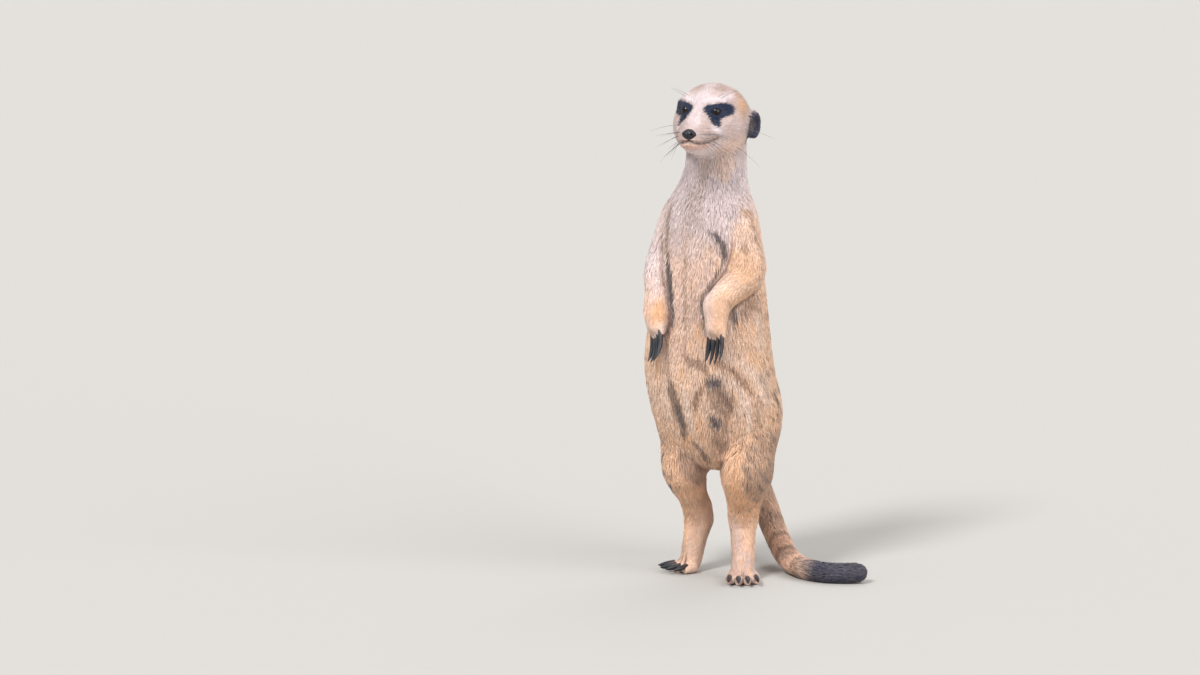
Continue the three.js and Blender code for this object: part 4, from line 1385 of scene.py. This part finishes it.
@dataclass
class Coat:
    """Short tufts, each a bent spike with three sides, rooted in the skin."""

    skin: Skin
    sink: float = 0.25
    gather: float = 0.08
    calm: float = 0.6
    most: int = 19500
    depths: tuple[float, float] = (0.55, 1.1)
    lengths: tuple[float, float] = (0.7, 1.2)
    widths: tuple[float, float] = (0.75, 1.25)
    reach: float = 0.96
    tip_lift: float = 0.86
    arch: float = 0.29
    set_back: float = 0.4
    thick: tuple[float, float] = (0.5, 0.42)
    swing: float = 0.12
    bend: float = 0.06

    def __post_init__(self) -> None:
        """Measure the skin's triangles once for all the pieces."""
        surface = self.skin.surface
        tri = surface.triangles
        a, b, c = (surface.points[tri[:, n]] for n in range(3))
        self.areas = np.linalg.norm(np.cross(b - a, c - a), axis=1) / 2
        self.middles = (a + b + c) / 3
        self.owner = self.skin.node[tri[:, 0]]
        self.bare = self._bare(self.middles)
        self.tree = surface.tree()

    def _bare(self, points: Array) -> Array:
        """Mark where no hair grows: on the eyes, the nose, the lips and under the feet."""
        bare = np.zeros(len(points), dtype=bool)
        for eye in self.skin.eyes:
            distance, reach, _ = eye.measure(points)
            bare |= (distance < eye.radius + 3) & (reach < 1.32)
        nose = self.skin.head.local(points) - self.skin.head.local(middle("nose")[None])
        bare |= np.linalg.norm(nose / [4.3, 5.0, 3.4], axis=1) < 1.0
        bare |= np.min([along_line(points, line)[1] for line in self.skin.mouth], axis=0) < 0.95
        bare |= points[:, 2] < 1.2
        return bare

    def pick(self, piece: CoatPiece, rng: np.random.Generator) -> tuple[Array, Array]:
        """Choose the roots of one piece.

        Args:
            piece: The piece of coat.
            rng: The seeded source of chance.

        Returns:
            The triangle of each root, and its three shares of that triangle's corners.
        """
        chosen = np.isin(self.owner, [NODES.index(node) for node in piece.nodes]) & ~self.bare
        if piece.facing:
            chosen &= self.skin.marks.from_spine(self.middles)[:, 1] * piece.facing > 0
        weight = self.areas * chosen * self.skin.lie[self.skin.surface.triangles[:, 0], 3]
        count = min(int(weight.sum()), self.most)
        triangles = rng.choice(len(weight), size=count, p=weight / weight.sum())
        r = np.sqrt(rng.random(count))
        s = rng.random(count)
        return triangles, np.column_stack([1 - r, r * (1 - s), r * s])

    def build(self, piece: CoatPiece, material: bpy.types.Material, seed: int) -> bpy.types.Object:
        """Grow one piece of the coat.

        Args:
            piece: The piece of coat.
            material: The finish of the hair.
            seed: Picks the piece's own chance.

        Returns:
            The piece's object.
        """
        rng = np.random.default_rng(SEED + seed)
        chosen, shares = self.pick(piece, rng)
        skin = self.skin
        corners = skin.surface.triangles[chosen]

        def at(values: Array) -> Array:
            """Read values of the skin's points at each root."""
            return np.einsum("nk,nkj->nj", shares, values[corners])

        roots, normal = at(skin.surface.points), unit(at(skin.normals))
        count = len(roots)
        points = self._tufts(roots, normal, unit(at(skin.flow)), at(skin.lie), rng)
        triangles = (TUFT[None] + len(TUFT_RUN) * np.arange(count)[:, None, None]).reshape(-1, 3)
        mesh = write_mesh(piece.name, points, triangles)
        self._calm_shading(mesh, points, triangles, normal)
        jitter = rng.normal(0, 0.45, (count, 3))
        colour = skin.marks.paint(roots + jitter, normal, at(skin.base), at(skin.shares))
        # Painted shade in the folds, as on the skin.
        skin.marks.paint_fold_shade(colour, at(skin.fold_shade[:, None])[:, 0])
        colour = np.clip(colour + rng.normal(0, 0.03, colour.shape) * (colour > 0.02), 0, 1)
        colour = np.repeat(np.column_stack([colour, rng.random(count)]), len(TUFT_RUN), axis=0)
        set_colours(mesh, "marks", *colour.T[:4])
        set_colours(mesh, "strand", colour[:, 4], np.tile(TUFT_RUN, count), colour[:, 5])
        self._map(mesh, piece, roots, triangles)
        return place(piece.name, mesh, piece.slot, material)

    def _tufts(self, roots: Array, normal: Array, flow: Array, lie: Array, rng: np.random.Generator) -> Array:
        """Shape the tufts.

        Args:
            roots: Where each tuft grows.
            normal: The skin's outward direction there.
            flow: The way the hair lies there.
            lie: The coat's depth, length and width there.
            rng: The seeded source of chance.

        Returns:
            The points of all the tufts, in the order that TUFT counts them.
        """
        count = len(roots)
        depth = lie[:, 0] * rng.uniform(*self.depths, count)
        length = lie[:, 1] * rng.uniform(*self.lengths, count)
        width = lie[:, 2] * rng.uniform(*self.widths, count)
        swing = rng.normal(0, self.swing, count) + 0.06 * ripple(roots, 14, 9)
        flow = unit(flow + swing[:, None] * np.cross(normal, flow))
        side = np.cross(normal, flow)
        bend = rng.normal(0, self.bend, count)[:, None] * length[:, None] * side
        tip = self._settled(roots + self.reach * length[:, None] * flow + bend, self.tip_lift * depth)
        tip = self._gathered(roots, tip, length)
        half = 0.5 * (roots + tip) + (self.arch * depth)[:, None] * normal
        foot = roots - self.sink * normal - self.set_back * flow
        points = np.empty((count, len(TUFT_RUN), 3))
        for n, turn in enumerate((0.0, 2.094, 4.189)):
            spoke = math.cos(turn) * side + math.sin(turn) * normal * 0.8
            points[:, n] = foot + self.thick[0] * width[:, None] * spoke
            points[:, 3 + n] = half + self.thick[1] * width[:, None] * spoke
        points[:, 6] = tip
        points[:, :, 2] = np.maximum(points[:, :, 2], 0.0)
        return points.reshape(-1, 3)

    def _settled(self, tips: Array, lift: Array) -> Array:
        """Bring the tips of the tufts down, or up, to a height over the skin nearest them.

        Args:
            tips: Where the tips would be if the skin were flat.
            lift: The height of each over the skin, in millimetres.

        Returns:
            The settled tips.
        """
        found = [self.tree.find_nearest(Vector(tip)) for tip in tips.tolist()]
        ground = np.array([hit[0] for hit in found])
        outwards = np.array([hit[1] for hit in found])
        return ground + lift[:, None] * outwards

    def _calm_shading(self, mesh: bpy.types.Mesh, points: Array, triangles: Array, normal: Array) -> None:
        """Turn the shading of each tuft part of the way to the skin's own, so that the coat looks soft."""
        skin_way = np.repeat(normal, len(TUFT_RUN), axis=0)
        shown = unit(self.calm * skin_way + (1 - self.calm) * point_normals(points, triangles))
        smooth(mesh)
        mesh.normals_split_custom_set_from_vertices(shown.tolist())

    def _gathered(self, roots: Array, tip: Array, length: Array) -> Array:
        """Draw neighbouring tips a little together, as hairs lie in locks."""
        cell = np.floor(roots / np.maximum(length.mean() * 0.4, 0.8)).astype(np.int64)
        _, lock = np.unique(cell, axis=0, return_inverse=True)
        lock = lock.reshape(-1)
        size = np.bincount(lock)
        centre = np.column_stack([np.bincount(lock, tip[:, n]) / size for n in range(3)])
        return tip + self.gather * (centre[lock] - tip)

    def _map(self, mesh: bpy.types.Mesh, piece: CoatPiece, roots: Array, triangles: Array) -> None:
        """Lay each tuft as a small patch on an unrolled strip of the solid that it grows over."""
        places = np.array([middle(node) for node in piece.nodes])
        nearest = np.argmin(np.linalg.norm(roots[:, None] - places[None], axis=2), axis=1)
        spots = np.empty((len(roots), 2))
        strip = 1.0 / len(piece.nodes)
        for number, node in enumerate(piece.nodes):
            mine = nearest == number
            if not mine.any():
                continue
            solid = solid_mesh(node)[0]
            centre = solid.mean(axis=0)
            _, _, axes = np.linalg.svd(solid - centre, full_matrices=False)
            away = (roots[mine] - centre) @ axes.T
            u = np.arctan2(away[:, 2], away[:, 1]) / (2 * math.pi) + 0.5
            low, high = away[:, 0].min(), away[:, 0].max()
            v = (away[:, 0] - low) / max(high - low, 1e-6)
            spots[mine] = np.column_stack([0.004 + 0.992 * u, strip * (number + 0.03 + 0.94 * v)])
        uv = (spots[:, None] + TUFT_MAP[None]).reshape(-1, 2)
        layer = mesh.uv_layers.new(name="OFBake")
        layer.uv.foreach_set("vector", uv[triangles.ravel()].astype(np.float32).ravel())


def coat_pieces() -> list[CoatPiece]:
    """The pieces that make up the coat, each small enough to handle on its own."""
    pieces = [
        CoatPiece("coat_head", "coat_pale", ("head",)),
        CoatPiece("coat_neck", "coat_pale", ("neck",)),
        CoatPiece("coat_chest_front", "coat_pale", ("chest",), -1.0),
        CoatPiece("coat_chest_back", "coat_fawn", ("chest",), 1.0),
        CoatPiece("coat_belly_front", "coat_fawn", ("belly",), -1.0),
        CoatPiece("coat_belly_back", "coat_fawn", ("belly",), 1.0),
        CoatPiece("coat_hips", "coat_rust", ("hips",)),
        CoatPiece("coat_tail", "coat_rust", TAIL),
        CoatPiece("coat_ears", "coat_dark", ("ear_left", "ear_right")),
    ]
    for side in SIDES:
        pieces += [
            CoatPiece(f"coat_arm_{side}", "coat_fawn", tuple(f"{name}_{side}" for name in ARM)),
            CoatPiece(f"coat_leg_{side}", "coat_rust", tuple(f"{name}_{side}" for name in LEG)),
        ]
    return pieces


# ---- nose, claws and whiskers


@dataclass
class NosePad:
    """The bare nose, with its two nostrils and the cleft below them."""

    head: HeadAxes
    half: tuple[float, float, float] = (4.3, 3.3, 3.35)
    set_back: float = 0.9
    pit_depth: float = 0.42
    slit_depth: float = 0.16
    rim: float = 0.05
    cleft: float = 0.14

    def build(self, material: bpy.types.Material) -> bpy.types.Object:
        """Build the pad.

        Args:
            material: The finish of the moist leathery skin.

        Returns:
            The nose's object.
        """
        surface = new_ball("nose_pad", bmesh.ops.create_icosphere, subdivisions=6)
        w = unit(surface.points)
        x, y, z = w.T
        size = np.ones(len(w))
        front = ease(0.1, -0.5, y)
        for sign in (1, -1):
            pit = oval(sign * x, z - 0.35 * (sign * x - 0.5), (0.5, -0.02), (0.24, 0.2))
            slit = oval(sign * x, z, (0.72, -0.2), (0.22, 0.1))
            size -= front * self.pit_depth * (1 - ease(0.4, 1.1, pit))
            size -= front * self.slit_depth * (1 - ease(0.4, 1.2, slit))
            size += front * self.rim * bell(pit - 1.4, 0.35)
        size -= self.cleft * bell(x, 0.085) * front * (1 - ease(0.05, 0.45, z))
        local = w * size[:, None] * np.array(self.half)
        local[:, 0] *= 1 + 0.1 * bell(z + 0.1, 0.5) - 0.14 * ease(0.2, 0.9, z)
        local[:, 1] += self.set_back
        surface.points = self.head.model(local + self.head.local(middle("nose")[None]))
        surface.write()
        return place("nose_pad", surface.mesh, "nose_pad", material, "nose")


@dataclass
class Claws:
    """The curved claws of one hand or foot."""

    limb: str
    side: str
    sides: int = 14
    rows: int = 18
    root: float = 3.0
    stout: float = 1.35
    hand_height: float = 1.1
    foot_height: float = 1.35
    arch: float = 1.5

    def build(self, material: bpy.types.Material) -> bpy.types.Object:
        """Build the four claws as one piece, each on its solid's own curve.

        Args:
            material: The horn finish.

        Returns:
            The claws' object.
        """
        nodes = claw_nodes(self.limb, self.side)
        name = f"claws_{self.limb}_{self.side}"
        mesh = write_mesh(name, *stack([self._claw(node) for node in nodes]))
        along = np.append(np.repeat(np.linspace(0, 1, self.rows), self.sides), [0.0, 1.0])
        along = np.tile(along, len(nodes))
        set_colours(mesh, "along", along, along, along)
        return place(name, mesh, "claw_horn", material, *nodes)

    def _claw(self, node: str) -> Form:
        """Read one claw's curve and size from its solid, and build it smooth.

        Args:
            node: The claw's solid.

        Returns:
            Its points in millimetres and its triangles.
        """
        on_foot = self.limb == "foot"
        solid = solid_mesh(node)[0]
        wrist = middle(f"{self.limb}_{self.side}")
        centre = solid.mean(axis=0)
        _, _, axes = np.linalg.svd(solid - centre, full_matrices=False)
        way = axes[0] if (centre - wrist) @ axes[0] > 0 else -axes[0]
        order = np.argsort((solid - centre) @ way)
        # The solid has a point at each end and three rings of five between them.
        groups = [solid[order[n : n + 5]] for n in (1, 6, 11)]
        spine = [group.mean(axis=0) for group in groups]
        line = np.array([spine[0] - self.root * unit(spine[1] - spine[0]), *spine, solid[order[-1]]])
        wide = unit(np.cross(way, [0, 0, 1.0] if on_foot else wrist - centre))
        deep = unit(np.cross(wide, way))
        sizes = [
            [np.abs((group - spot) @ wide).max(), np.abs((group - spot) @ deep).max()]
            for group, spot in zip(groups, spine)
        ]
        sizes = np.array([sizes[0], *sizes, [0.1, 0.12]])
        sizes *= [self.stout, self.foot_height if on_foot else self.hand_height]
        if on_foot:
            line[:, 2] += self.arch * np.array([1.0, 1.0, 0.9, 0.4, 0.0])
        stops = [0, 0.2, 0.5, 0.82, 1.0]
        turns = np.linspace(0, 2 * math.pi, self.sides, endpoint=False)
        ridge = np.where(np.sin(turns) < 0, 0.75, 1.0)
        rings = []
        for share in np.linspace(0, 1, self.rows):
            spot = np.array([np.interp(share, stops, line[:, n]) for n in range(3)])
            w, d = (np.interp(share, stops, sizes[:, n]) for n in range(2))
            rings.append(spot + np.outer(w * np.cos(turns) * ridge, wide) + np.outer(d * np.sin(turns), deep))
        rings = np.array(rings)
        for _ in range(3):
            rings[1:-1] = 0.5 * rings[1:-1] + 0.25 * (rings[:-2] + rings[2:])
        ends = [rings[0].mean(axis=0), rings[-1].mean(axis=0) + way * 0.15]
        points = np.vstack([rings.reshape(-1, 3), ends])
        points[:, 2] = np.maximum(points[:, 2], 0.0)
        faces = np.vstack([tube(self.rows, self.sides), self._caps()])
        a, b, c = (points[faces[:, k]] for k in range(3))
        if np.einsum("ij,ij->i", np.cross(b, c), a).sum() < 0:
            faces = faces[:, ::-1]
        return points, faces

    def _caps(self) -> Array:
        """The triangles that close the two ends of a claw's tube."""
        first = self.rows * self.sides
        last = first - self.sides
        faces = []
        for n in range(self.sides):
            m = (n + 1) % self.sides
            faces += [[first, m, n], [first + 1, last + n, last + m]]
        return np.array(faces)


@dataclass
class Whiskers:
    """Stiff whiskers on the lips, brows and cheeks."""

    skin: Skin
    thick: float = 0.3
    rows: int = 9
    sides: int = 5
    sag: float = 0.16

    def build(self, material: bpy.types.Material) -> bpy.types.Object:
        """Build every whisker as one piece.

        Args:
            material: The finish of the whiskers.

        Returns:
            The whiskers' object.
        """
        rng = np.random.default_rng(SEED + 77)
        head = self.skin.head
        tree = self.skin.surface.tree()
        forms = []
        for root, way, length in self._seats(rng):
            spot = tree.find_nearest(Vector(head.model(root)))[0]
            forms.append(self._whisker(np.array(spot), unit(head.turn(way)), length, rng))
        return place("whiskers", write_mesh("whiskers", *stack(forms)), "claw_horn", material)

    @staticmethod
    def _seats(rng: np.random.Generator) -> list[tuple[Array, Array, float]]:
        """Seat the whiskers of both sides: where each grows, the way it leaves, and its length."""
        seats = []
        for sign in (1, -1):
            for row in range(3):
                for n in range(4):
                    root = (sign * (5.5 + 0.7 * n), -37.0 + 2.9 * n, -9.2 - 1.7 * row)
                    way = (sign * (0.9 - 0.1 * n), 0.1 + 0.18 * n, -0.05 - 0.28 * row)
                    seats.append((root, way, rng.uniform(14, 20)))
            for n in range(2):
                root, way = (sign * (9.0 + 2 * n), -17.0, 12.5), (sign * 0.8, -0.2 + 0.2 * n, 0.5)
                seats.append((root, way, rng.uniform(11, 14)))
            seats.append(((sign * 22.5, 1.0, -5.0), (sign * 0.95, 0.1, -0.12), 20.0))
            seats.append(((sign * 18.0, -3.0, -16.0), (sign * 0.8, 0.15, -0.5), 19.0))
        return [(np.array(root), np.array(way), length) for root, way, length in seats]

    def _whisker(self, root: Array, way: Array, length: float, rng: np.random.Generator) -> Form:
        """Build one whisker that droops a little towards its tip.

        Args:
            root: Where it grows.
            way: The direction it leaves in.
            length: Its length in millimetres.
            rng: The seeded source of chance.

        Returns:
            Its points and its triangles.
        """
        share = np.linspace(0, 1, self.rows)
        sag = np.array([0, 0.1, -1.0]) * length * self.sag * rng.uniform(0.6, 1.3)
        line = root - way * 0.8 + np.outer(share * (length + 0.8), way) + np.outer(share**2, sag)
        wide = unit(np.cross(way, [0, 0, 1.0]))
        deep = np.cross(wide, way)
        turns = np.linspace(0, 2 * math.pi, self.sides, endpoint=False)
        radius = self.thick / 2 * (1 - 0.8 * share)
        spokes = np.outer(np.cos(turns), wide) + np.outer(np.sin(turns), deep)
        points = (line[:, None] + radius[:, None, None] * spokes[None]).reshape(-1, 3)
        last = (self.rows - 1) * self.sides
        caps = []
        for n in range(1, self.sides - 1):
            caps += [[0, n, n + 1], [last, last + n + 1, last + n]]
        return points, np.vstack([tube(self.rows, self.sides)[:, [0, 2, 1]], caps])


# ---- finishes


def linear(code: str) -> tuple[float, float, float, float]:
    """Turn an sRGB hex colour into linear light.

    Args:
        code: A colour such as "#a0b1c2".

    Returns:
        Red, green, blue and an alpha of 1.
    """
    parts = [int(code[n : n + 2], 16) / 255 for n in (1, 3, 5)]
    red, green, blue = (p / 12.92 if p <= 0.04045 else ((p + 0.055) / 1.055) ** 2.4 for p in parts)
    return red, green, blue, 1.0


def feed(tree: bpy.types.NodeTree, node: bpy.types.Node, values: dict[str | int, object]) -> None:
    """Give a node its inputs.

    Args:
        tree: The node tree.
        node: The node to feed.
        values: For each input, either a plain value or a pair of a node and its output.
    """
    for name, value in values.items():
        if isinstance(value, tuple) and isinstance(value[0], bpy.types.Node):
            tree.links.new(value[0].outputs[value[1]], node.inputs[name])
        else:
            node.inputs[name].default_value = value


def add_node(
    tree: bpy.types.NodeTree,
    kind: str,
    settings: dict[str, object] | None = None,
    links: dict[str | int, object] | None = None,
) -> bpy.types.Node:
    """Add one node, set it and link it.

    Args:
        tree: The material's node tree.
        kind: The node's type name.
        settings: Properties of the node itself.
        links: Its inputs, as feed() takes them.

    Returns:
        The new node.
    """
    node = tree.nodes.new(kind)
    for name, value in (settings or {}).items():
        setattr(node, name, value)
    feed(tree, node, links or {})
    return node


@dataclass(frozen=True)
class Finish:
    """A finish: a name after the real material, and a way to dress the shader."""

    name: str

    def build(self) -> bpy.types.Material:
        """Build the finish.

        Returns:
            The material.
        """
        material = bpy.data.materials.new(self.name)
        material.use_nodes = True
        tree = material.node_tree
        feed(tree, tree.nodes["Principled BSDF"], self._sockets(tree))
        return material

    def _sockets(self, tree: bpy.types.NodeTree) -> dict[str | int, object]:
        """The shader's inputs, with the nodes that feed them."""
        return {}


@dataclass(frozen=True)
class Palette:
    """The colours of the coat."""

    fawn: str = "#f5dac2"
    pale: str = "#f2e8f0"
    rust: str = "#f6b982"
    brown: str = "#85563f"
    dark: str = "#1c2945"
    pink: str = "#ecb6a8"


@dataclass(frozen=True)
class Hair(Finish):
    """Short guard hair: dry keratin, so it is soft and matt with a faint sheen along the lie."""

    palette: Palette = Palette()
    on_skin: bool = False
    swell: float = 12.0
    grain: float = 1.4

    def _sockets(self, tree: bpy.types.NodeTree) -> dict[str | int, object]:
        """Mix the coat's colours, and shade them along each hair, or paint shade into the skin's grooves."""
        marks = add_node(tree, "ShaderNodeAttribute", {"attribute_name": "marks"})
        strand = add_node(tree, "ShaderNodeAttribute", {"attribute_name": "strand"})
        split = add_node(tree, "ShaderNodeSeparateColor", links={0: (marks, "Color")})
        hair = add_node(tree, "ShaderNodeSeparateColor", links={0: (strand, "Color")})
        colour = linear(self.palette.fawn)
        steps = (
            ((split, 0), self.palette.pale),
            ((split, 1), self.palette.rust),
            ((hair, 0), self.palette.pink),
            ((split, 2), self.palette.brown),
            ((marks, "Alpha"), self.palette.dark),
        )
        for share, code in steps:
            links = {0: share, 6: colour, 7: linear(code)}
            colour = (add_node(tree, "ShaderNodeMix", {"data_type": "RGBA"}, links), 2)
        where = (add_node(tree, "ShaderNodeTexCoord"), "Object")
        # Soft swells of tone, as hair lifts and parts over the muscles.
        links = {"Vector": where, "Scale": 1 / (self.swell * MM), "Detail": 2.0}
        swell = add_node(tree, "ShaderNodeTexNoise", links=links)
        tone = add_node(tree, "ShaderNodeMapRange", links={0: (swell, 0), 1: 0.3, 2: 0.7, 3: 0.9, 4: 1.08})
        sockets = {}
        if self.on_skin:
            # Fine grain, one hair wide, that stands for the hairs too short to model.
            links = {"Vector": where, "Scale": 1 / (self.grain * MM), "Detail": 3.0}
            fine = add_node(tree, "ShaderNodeTexNoise", links=links)
            links = {"Strength": 0.35, "Distance": 0.3 * MM, "Height": (fine, 0)}
            sockets["Normal"] = (add_node(tree, "ShaderNodeBump", links=links), 0)
            # The skin darkens down to a fifth in its grooves: painted shade.
            deepening = [{0: (hair, 1), 1: 0.0, 2: 1.0, 3: 0.86, 4: 0.18}]
        else:
            # Each tuft is darker at the root and lighter at the tip, and no two are quite alike.
            deepening = [
                {0: (hair, 1), 1: 0.0, 2: 1.0, 3: 0.88, 4: 1.14},
                {0: (hair, 2), 1: 0.0, 2: 1.0, 3: 0.84, 4: 1.14},
            ]
        for links in deepening:
            deep = add_node(tree, "ShaderNodeMapRange", links=links)
            tone = add_node(tree, "ShaderNodeMath", {"operation": "MULTIPLY"}, {0: (tone, 0), 1: (deep, 0)})
        links = {0: colour, "Scale": (tone, 0)}
        shade = add_node(tree, "ShaderNodeVectorMath", {"operation": "SCALE"}, links)
        return sockets | {
            "Base Color": (shade, 0),
            "Roughness": 0.72,
            "Specular IOR Level": 0.3,
            "Sheen Weight": 0.12,
            "Sheen Roughness": 0.5,
        }


@dataclass(frozen=True)
class EyeGlass(Finish):
    """A wet eye: clear cornea over a dark brown iris, smooth, so it shows the lights as sharp points."""

    name: str = "wet_cornea"
    pupil: str = "#040404"
    iris: str = "#2b190f"
    rim: str = "#090707"

    def _sockets(self, tree: bpy.types.NodeTree) -> dict[str | int, object]:
        """Ring the pupil with the iris, and the iris with its dark rim."""
        rings = add_node(tree, "ShaderNodeAttribute", {"attribute_name": "rings"})
        split = add_node(tree, "ShaderNodeSeparateColor", links={0: (rings, "Color")})
        open_iris = add_node(tree, "ShaderNodeMapRange", links={0: (split, 0), 1: 0.34, 2: 0.42})
        edge = add_node(tree, "ShaderNodeMapRange", links={0: (split, 1), 1: 0.58, 2: 0.72})
        links = {0: (open_iris, 0), 6: linear(self.pupil), 7: linear(self.iris)}
        inner = add_node(tree, "ShaderNodeMix", {"data_type": "RGBA"}, links)
        links = {0: (edge, 0), 6: (inner, 2), 7: linear(self.rim)}
        outer = add_node(tree, "ShaderNodeMix", {"data_type": "RGBA"}, links)
        return {"Base Color": (outer, 2), "Roughness": 0.06, "IOR": 1.38}


@dataclass(frozen=True)
class NoseLeather(Finish):
    """Bare nose skin: finely pebbled and just moist, so it gleams softly."""

    name: str = "nose_leather"
    colour: str = "#1d1f26"
    pebble: float = 0.45

    def _sockets(self, tree: bpy.types.NodeTree) -> dict[str | int, object]:
        """Raise pebbles of the leather's own size."""
        where = (add_node(tree, "ShaderNodeTexCoord"), "Object")
        links = {"Vector": where, "Scale": 1 / (self.pebble * MM)}
        cells = add_node(tree, "ShaderNodeTexVoronoi", links=links)
        links = {"Strength": 0.5, "Distance": 0.06 * MM, "Height": (cells, 0)}
        bump = add_node(tree, "ShaderNodeBump", links=links)
        return {"Normal": (bump, 0), "Base Color": linear(self.colour), "Roughness": 0.38, "IOR": 1.45}


@dataclass(frozen=True)
class ClawHorn(Finish):
    """Claw horn: dense keratin worn smooth, dark, with a paler root."""

    name: str = "claw_horn"
    root: str = "#4a3d38"
    tip: str = "#1c2029"

    def _sockets(self, tree: bpy.types.NodeTree) -> dict[str | int, object]:
        """Darken the horn from its root on."""
        along = add_node(tree, "ShaderNodeAttribute", {"attribute_name": "along"})
        fade = add_node(tree, "ShaderNodeMapRange", links={0: (along, "Fac"), 1: 0.0, 2: 0.35})
        links = {0: (fade, 0), 6: linear(self.root), 7: linear(self.tip)}
        mixed = add_node(tree, "ShaderNodeMix", {"data_type": "RGBA"}, links)
        return {"Base Color": (mixed, 2), "Roughness": 0.34, "IOR": 1.54}


@dataclass(frozen=True)
class Bristle(Finish):
    """Whisker keratin: stiff, grey and slightly shiny."""

    name: str = "whisker_keratin"
    colour: str = "#6a6870"

    def _sockets(self, tree: bpy.types.NodeTree) -> dict[str | int, object]:
        """One even colour."""
        return {"Base Color": linear(self.colour), "Roughness": 0.4}


@dataclass(frozen=True)
class MattPaper(Finish):
    """Background paper: uncoated and calendered, so it is even and has no gloss."""

    name: str = "matt_paper"
    colour: str = "#b6b4b1"

    def _sockets(self, tree: bpy.types.NodeTree) -> dict[str | int, object]:
        """One even colour."""
        return {"Base Color": linear(self.colour), "Roughness": 0.9, "Specular IOR Level": 0.1}


# ---- studio


@dataclass(frozen=True)
class Lamp:
    """One soft light: degrees round from the camera, degrees up, its strength and its spread in degrees."""

    name: str
    turn: float
    lift: float
    power: float
    spread: float


@dataclass
class Studio:
    """A wide flat floor of pale paper, soft light and the camera."""

    azimuth: float = 23.0
    elevation: float = 10.0
    distance: float = 20000.0
    width: float = 756.0
    across: float = -102.8
    up: float = 149.4
    floor_half: float = 30000.0
    clip: tuple[float, float] = (0.05, 100.0)
    room: str = "#f6f4f2"
    glow: float = 0.74
    lamps: tuple[Lamp, ...] = (
        Lamp("key", -34, 48, 2.3, 14),
        Lamp("fill", 50, 28, 1.85, 50),
        Lamp("rim", 165, 50, 0.6, 40),
    )

    def build(self) -> None:
        """Build the floor, the lights and the camera."""
        self._floor()
        for lamp in self.lamps:
            self._light(lamp)
        self._surround()
        self._camera()

    def _floor(self) -> None:
        """Lay a wide sheet of matt paper under the animal."""
        half = self.floor_half * MM
        mesh = bpy.data.meshes.new("floor")
        corners = [(-half, -half, 0), (half, -half, 0), (half, half, 0), (-half, half, 0)]
        mesh.from_pydata(corners, [], [(0, 1, 2, 3)])
        mesh.materials.append(MattPaper().build())
        add_object("floor", mesh)

    def _light(self, lamp: Lamp) -> None:
        """Hang one light round the animal."""
        light = bpy.data.lights.new(lamp.name, "SUN")
        light.energy, light.angle = lamp.power, math.radians(lamp.spread)
        hung = add_object(lamp.name, light)
        hung.location = Vector(heading(self.azimuth + lamp.turn, lamp.lift))
        hung.rotation_euler = hung.location.to_track_quat("Z", "Y").to_euler()

    def _surround(self) -> None:
        """Fill the room with an even pale light."""
        world = bpy.data.worlds.new("pale_room")
        world.use_nodes = True
        background = world.node_tree.nodes["Background"]
        feed(world.node_tree, background, {"Color": linear(self.room), "Strength": self.glow})
        bpy.context.scene.world = world
        bpy.context.scene.view_settings.view_transform = "Standard"

    def _camera(self) -> None:
        """Set the camera at the viewing angle of the model's front."""
        right = Vector(heading(self.azimuth + 90, 0))
        back = Vector(heading(self.azimuth, self.elevation))
        top = Vector(heading(self.azimuth + 180, 90 - self.elevation))
        lens = bpy.data.cameras.new("camera")
        lens.lens = lens.sensor_width * self.distance / self.width
        lens.clip_start, lens.clip_end = self.clip
        camera = add_object("camera", lens)
        camera.location = (right * self.across + top * self.up + back * self.distance) * MM
        camera.rotation_mode = "QUATERNION"
        camera.rotation_quaternion = back.to_track_quat("Z", "Y")
        bpy.context.scene.camera = camera


# ---- all together


def main() -> None:
    """Build the animal and its studio."""
    logging.basicConfig(level=logging.INFO, format="%(message)s")
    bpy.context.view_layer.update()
    Studio().build()
    head = HeadAxes()
    marks = Markings(head)
    eyes = [Eye(side, head) for side in SIDES]
    skin = Skin(head, marks, eyes)
    coat = Coat(skin)
    hair = Hair("guard_hair").build()
    for number, piece in enumerate(coat_pieces()):
        coat.build(piece, hair, number)
    Whiskers(skin).build(Bristle().build())
    skin.build(Hair("skin_with_down", on_skin=True).build())
    glass = EyeGlass().build()
    for eye in eyes:
        eye.build(glass)
    NosePad(head).build(NoseLeather().build())
    horn = ClawHorn().build()
    for side in SIDES:
        for limb in ("hand", "foot"):
            Claws(limb, side).build(horn)


if __name__ == "__main__":
    main()
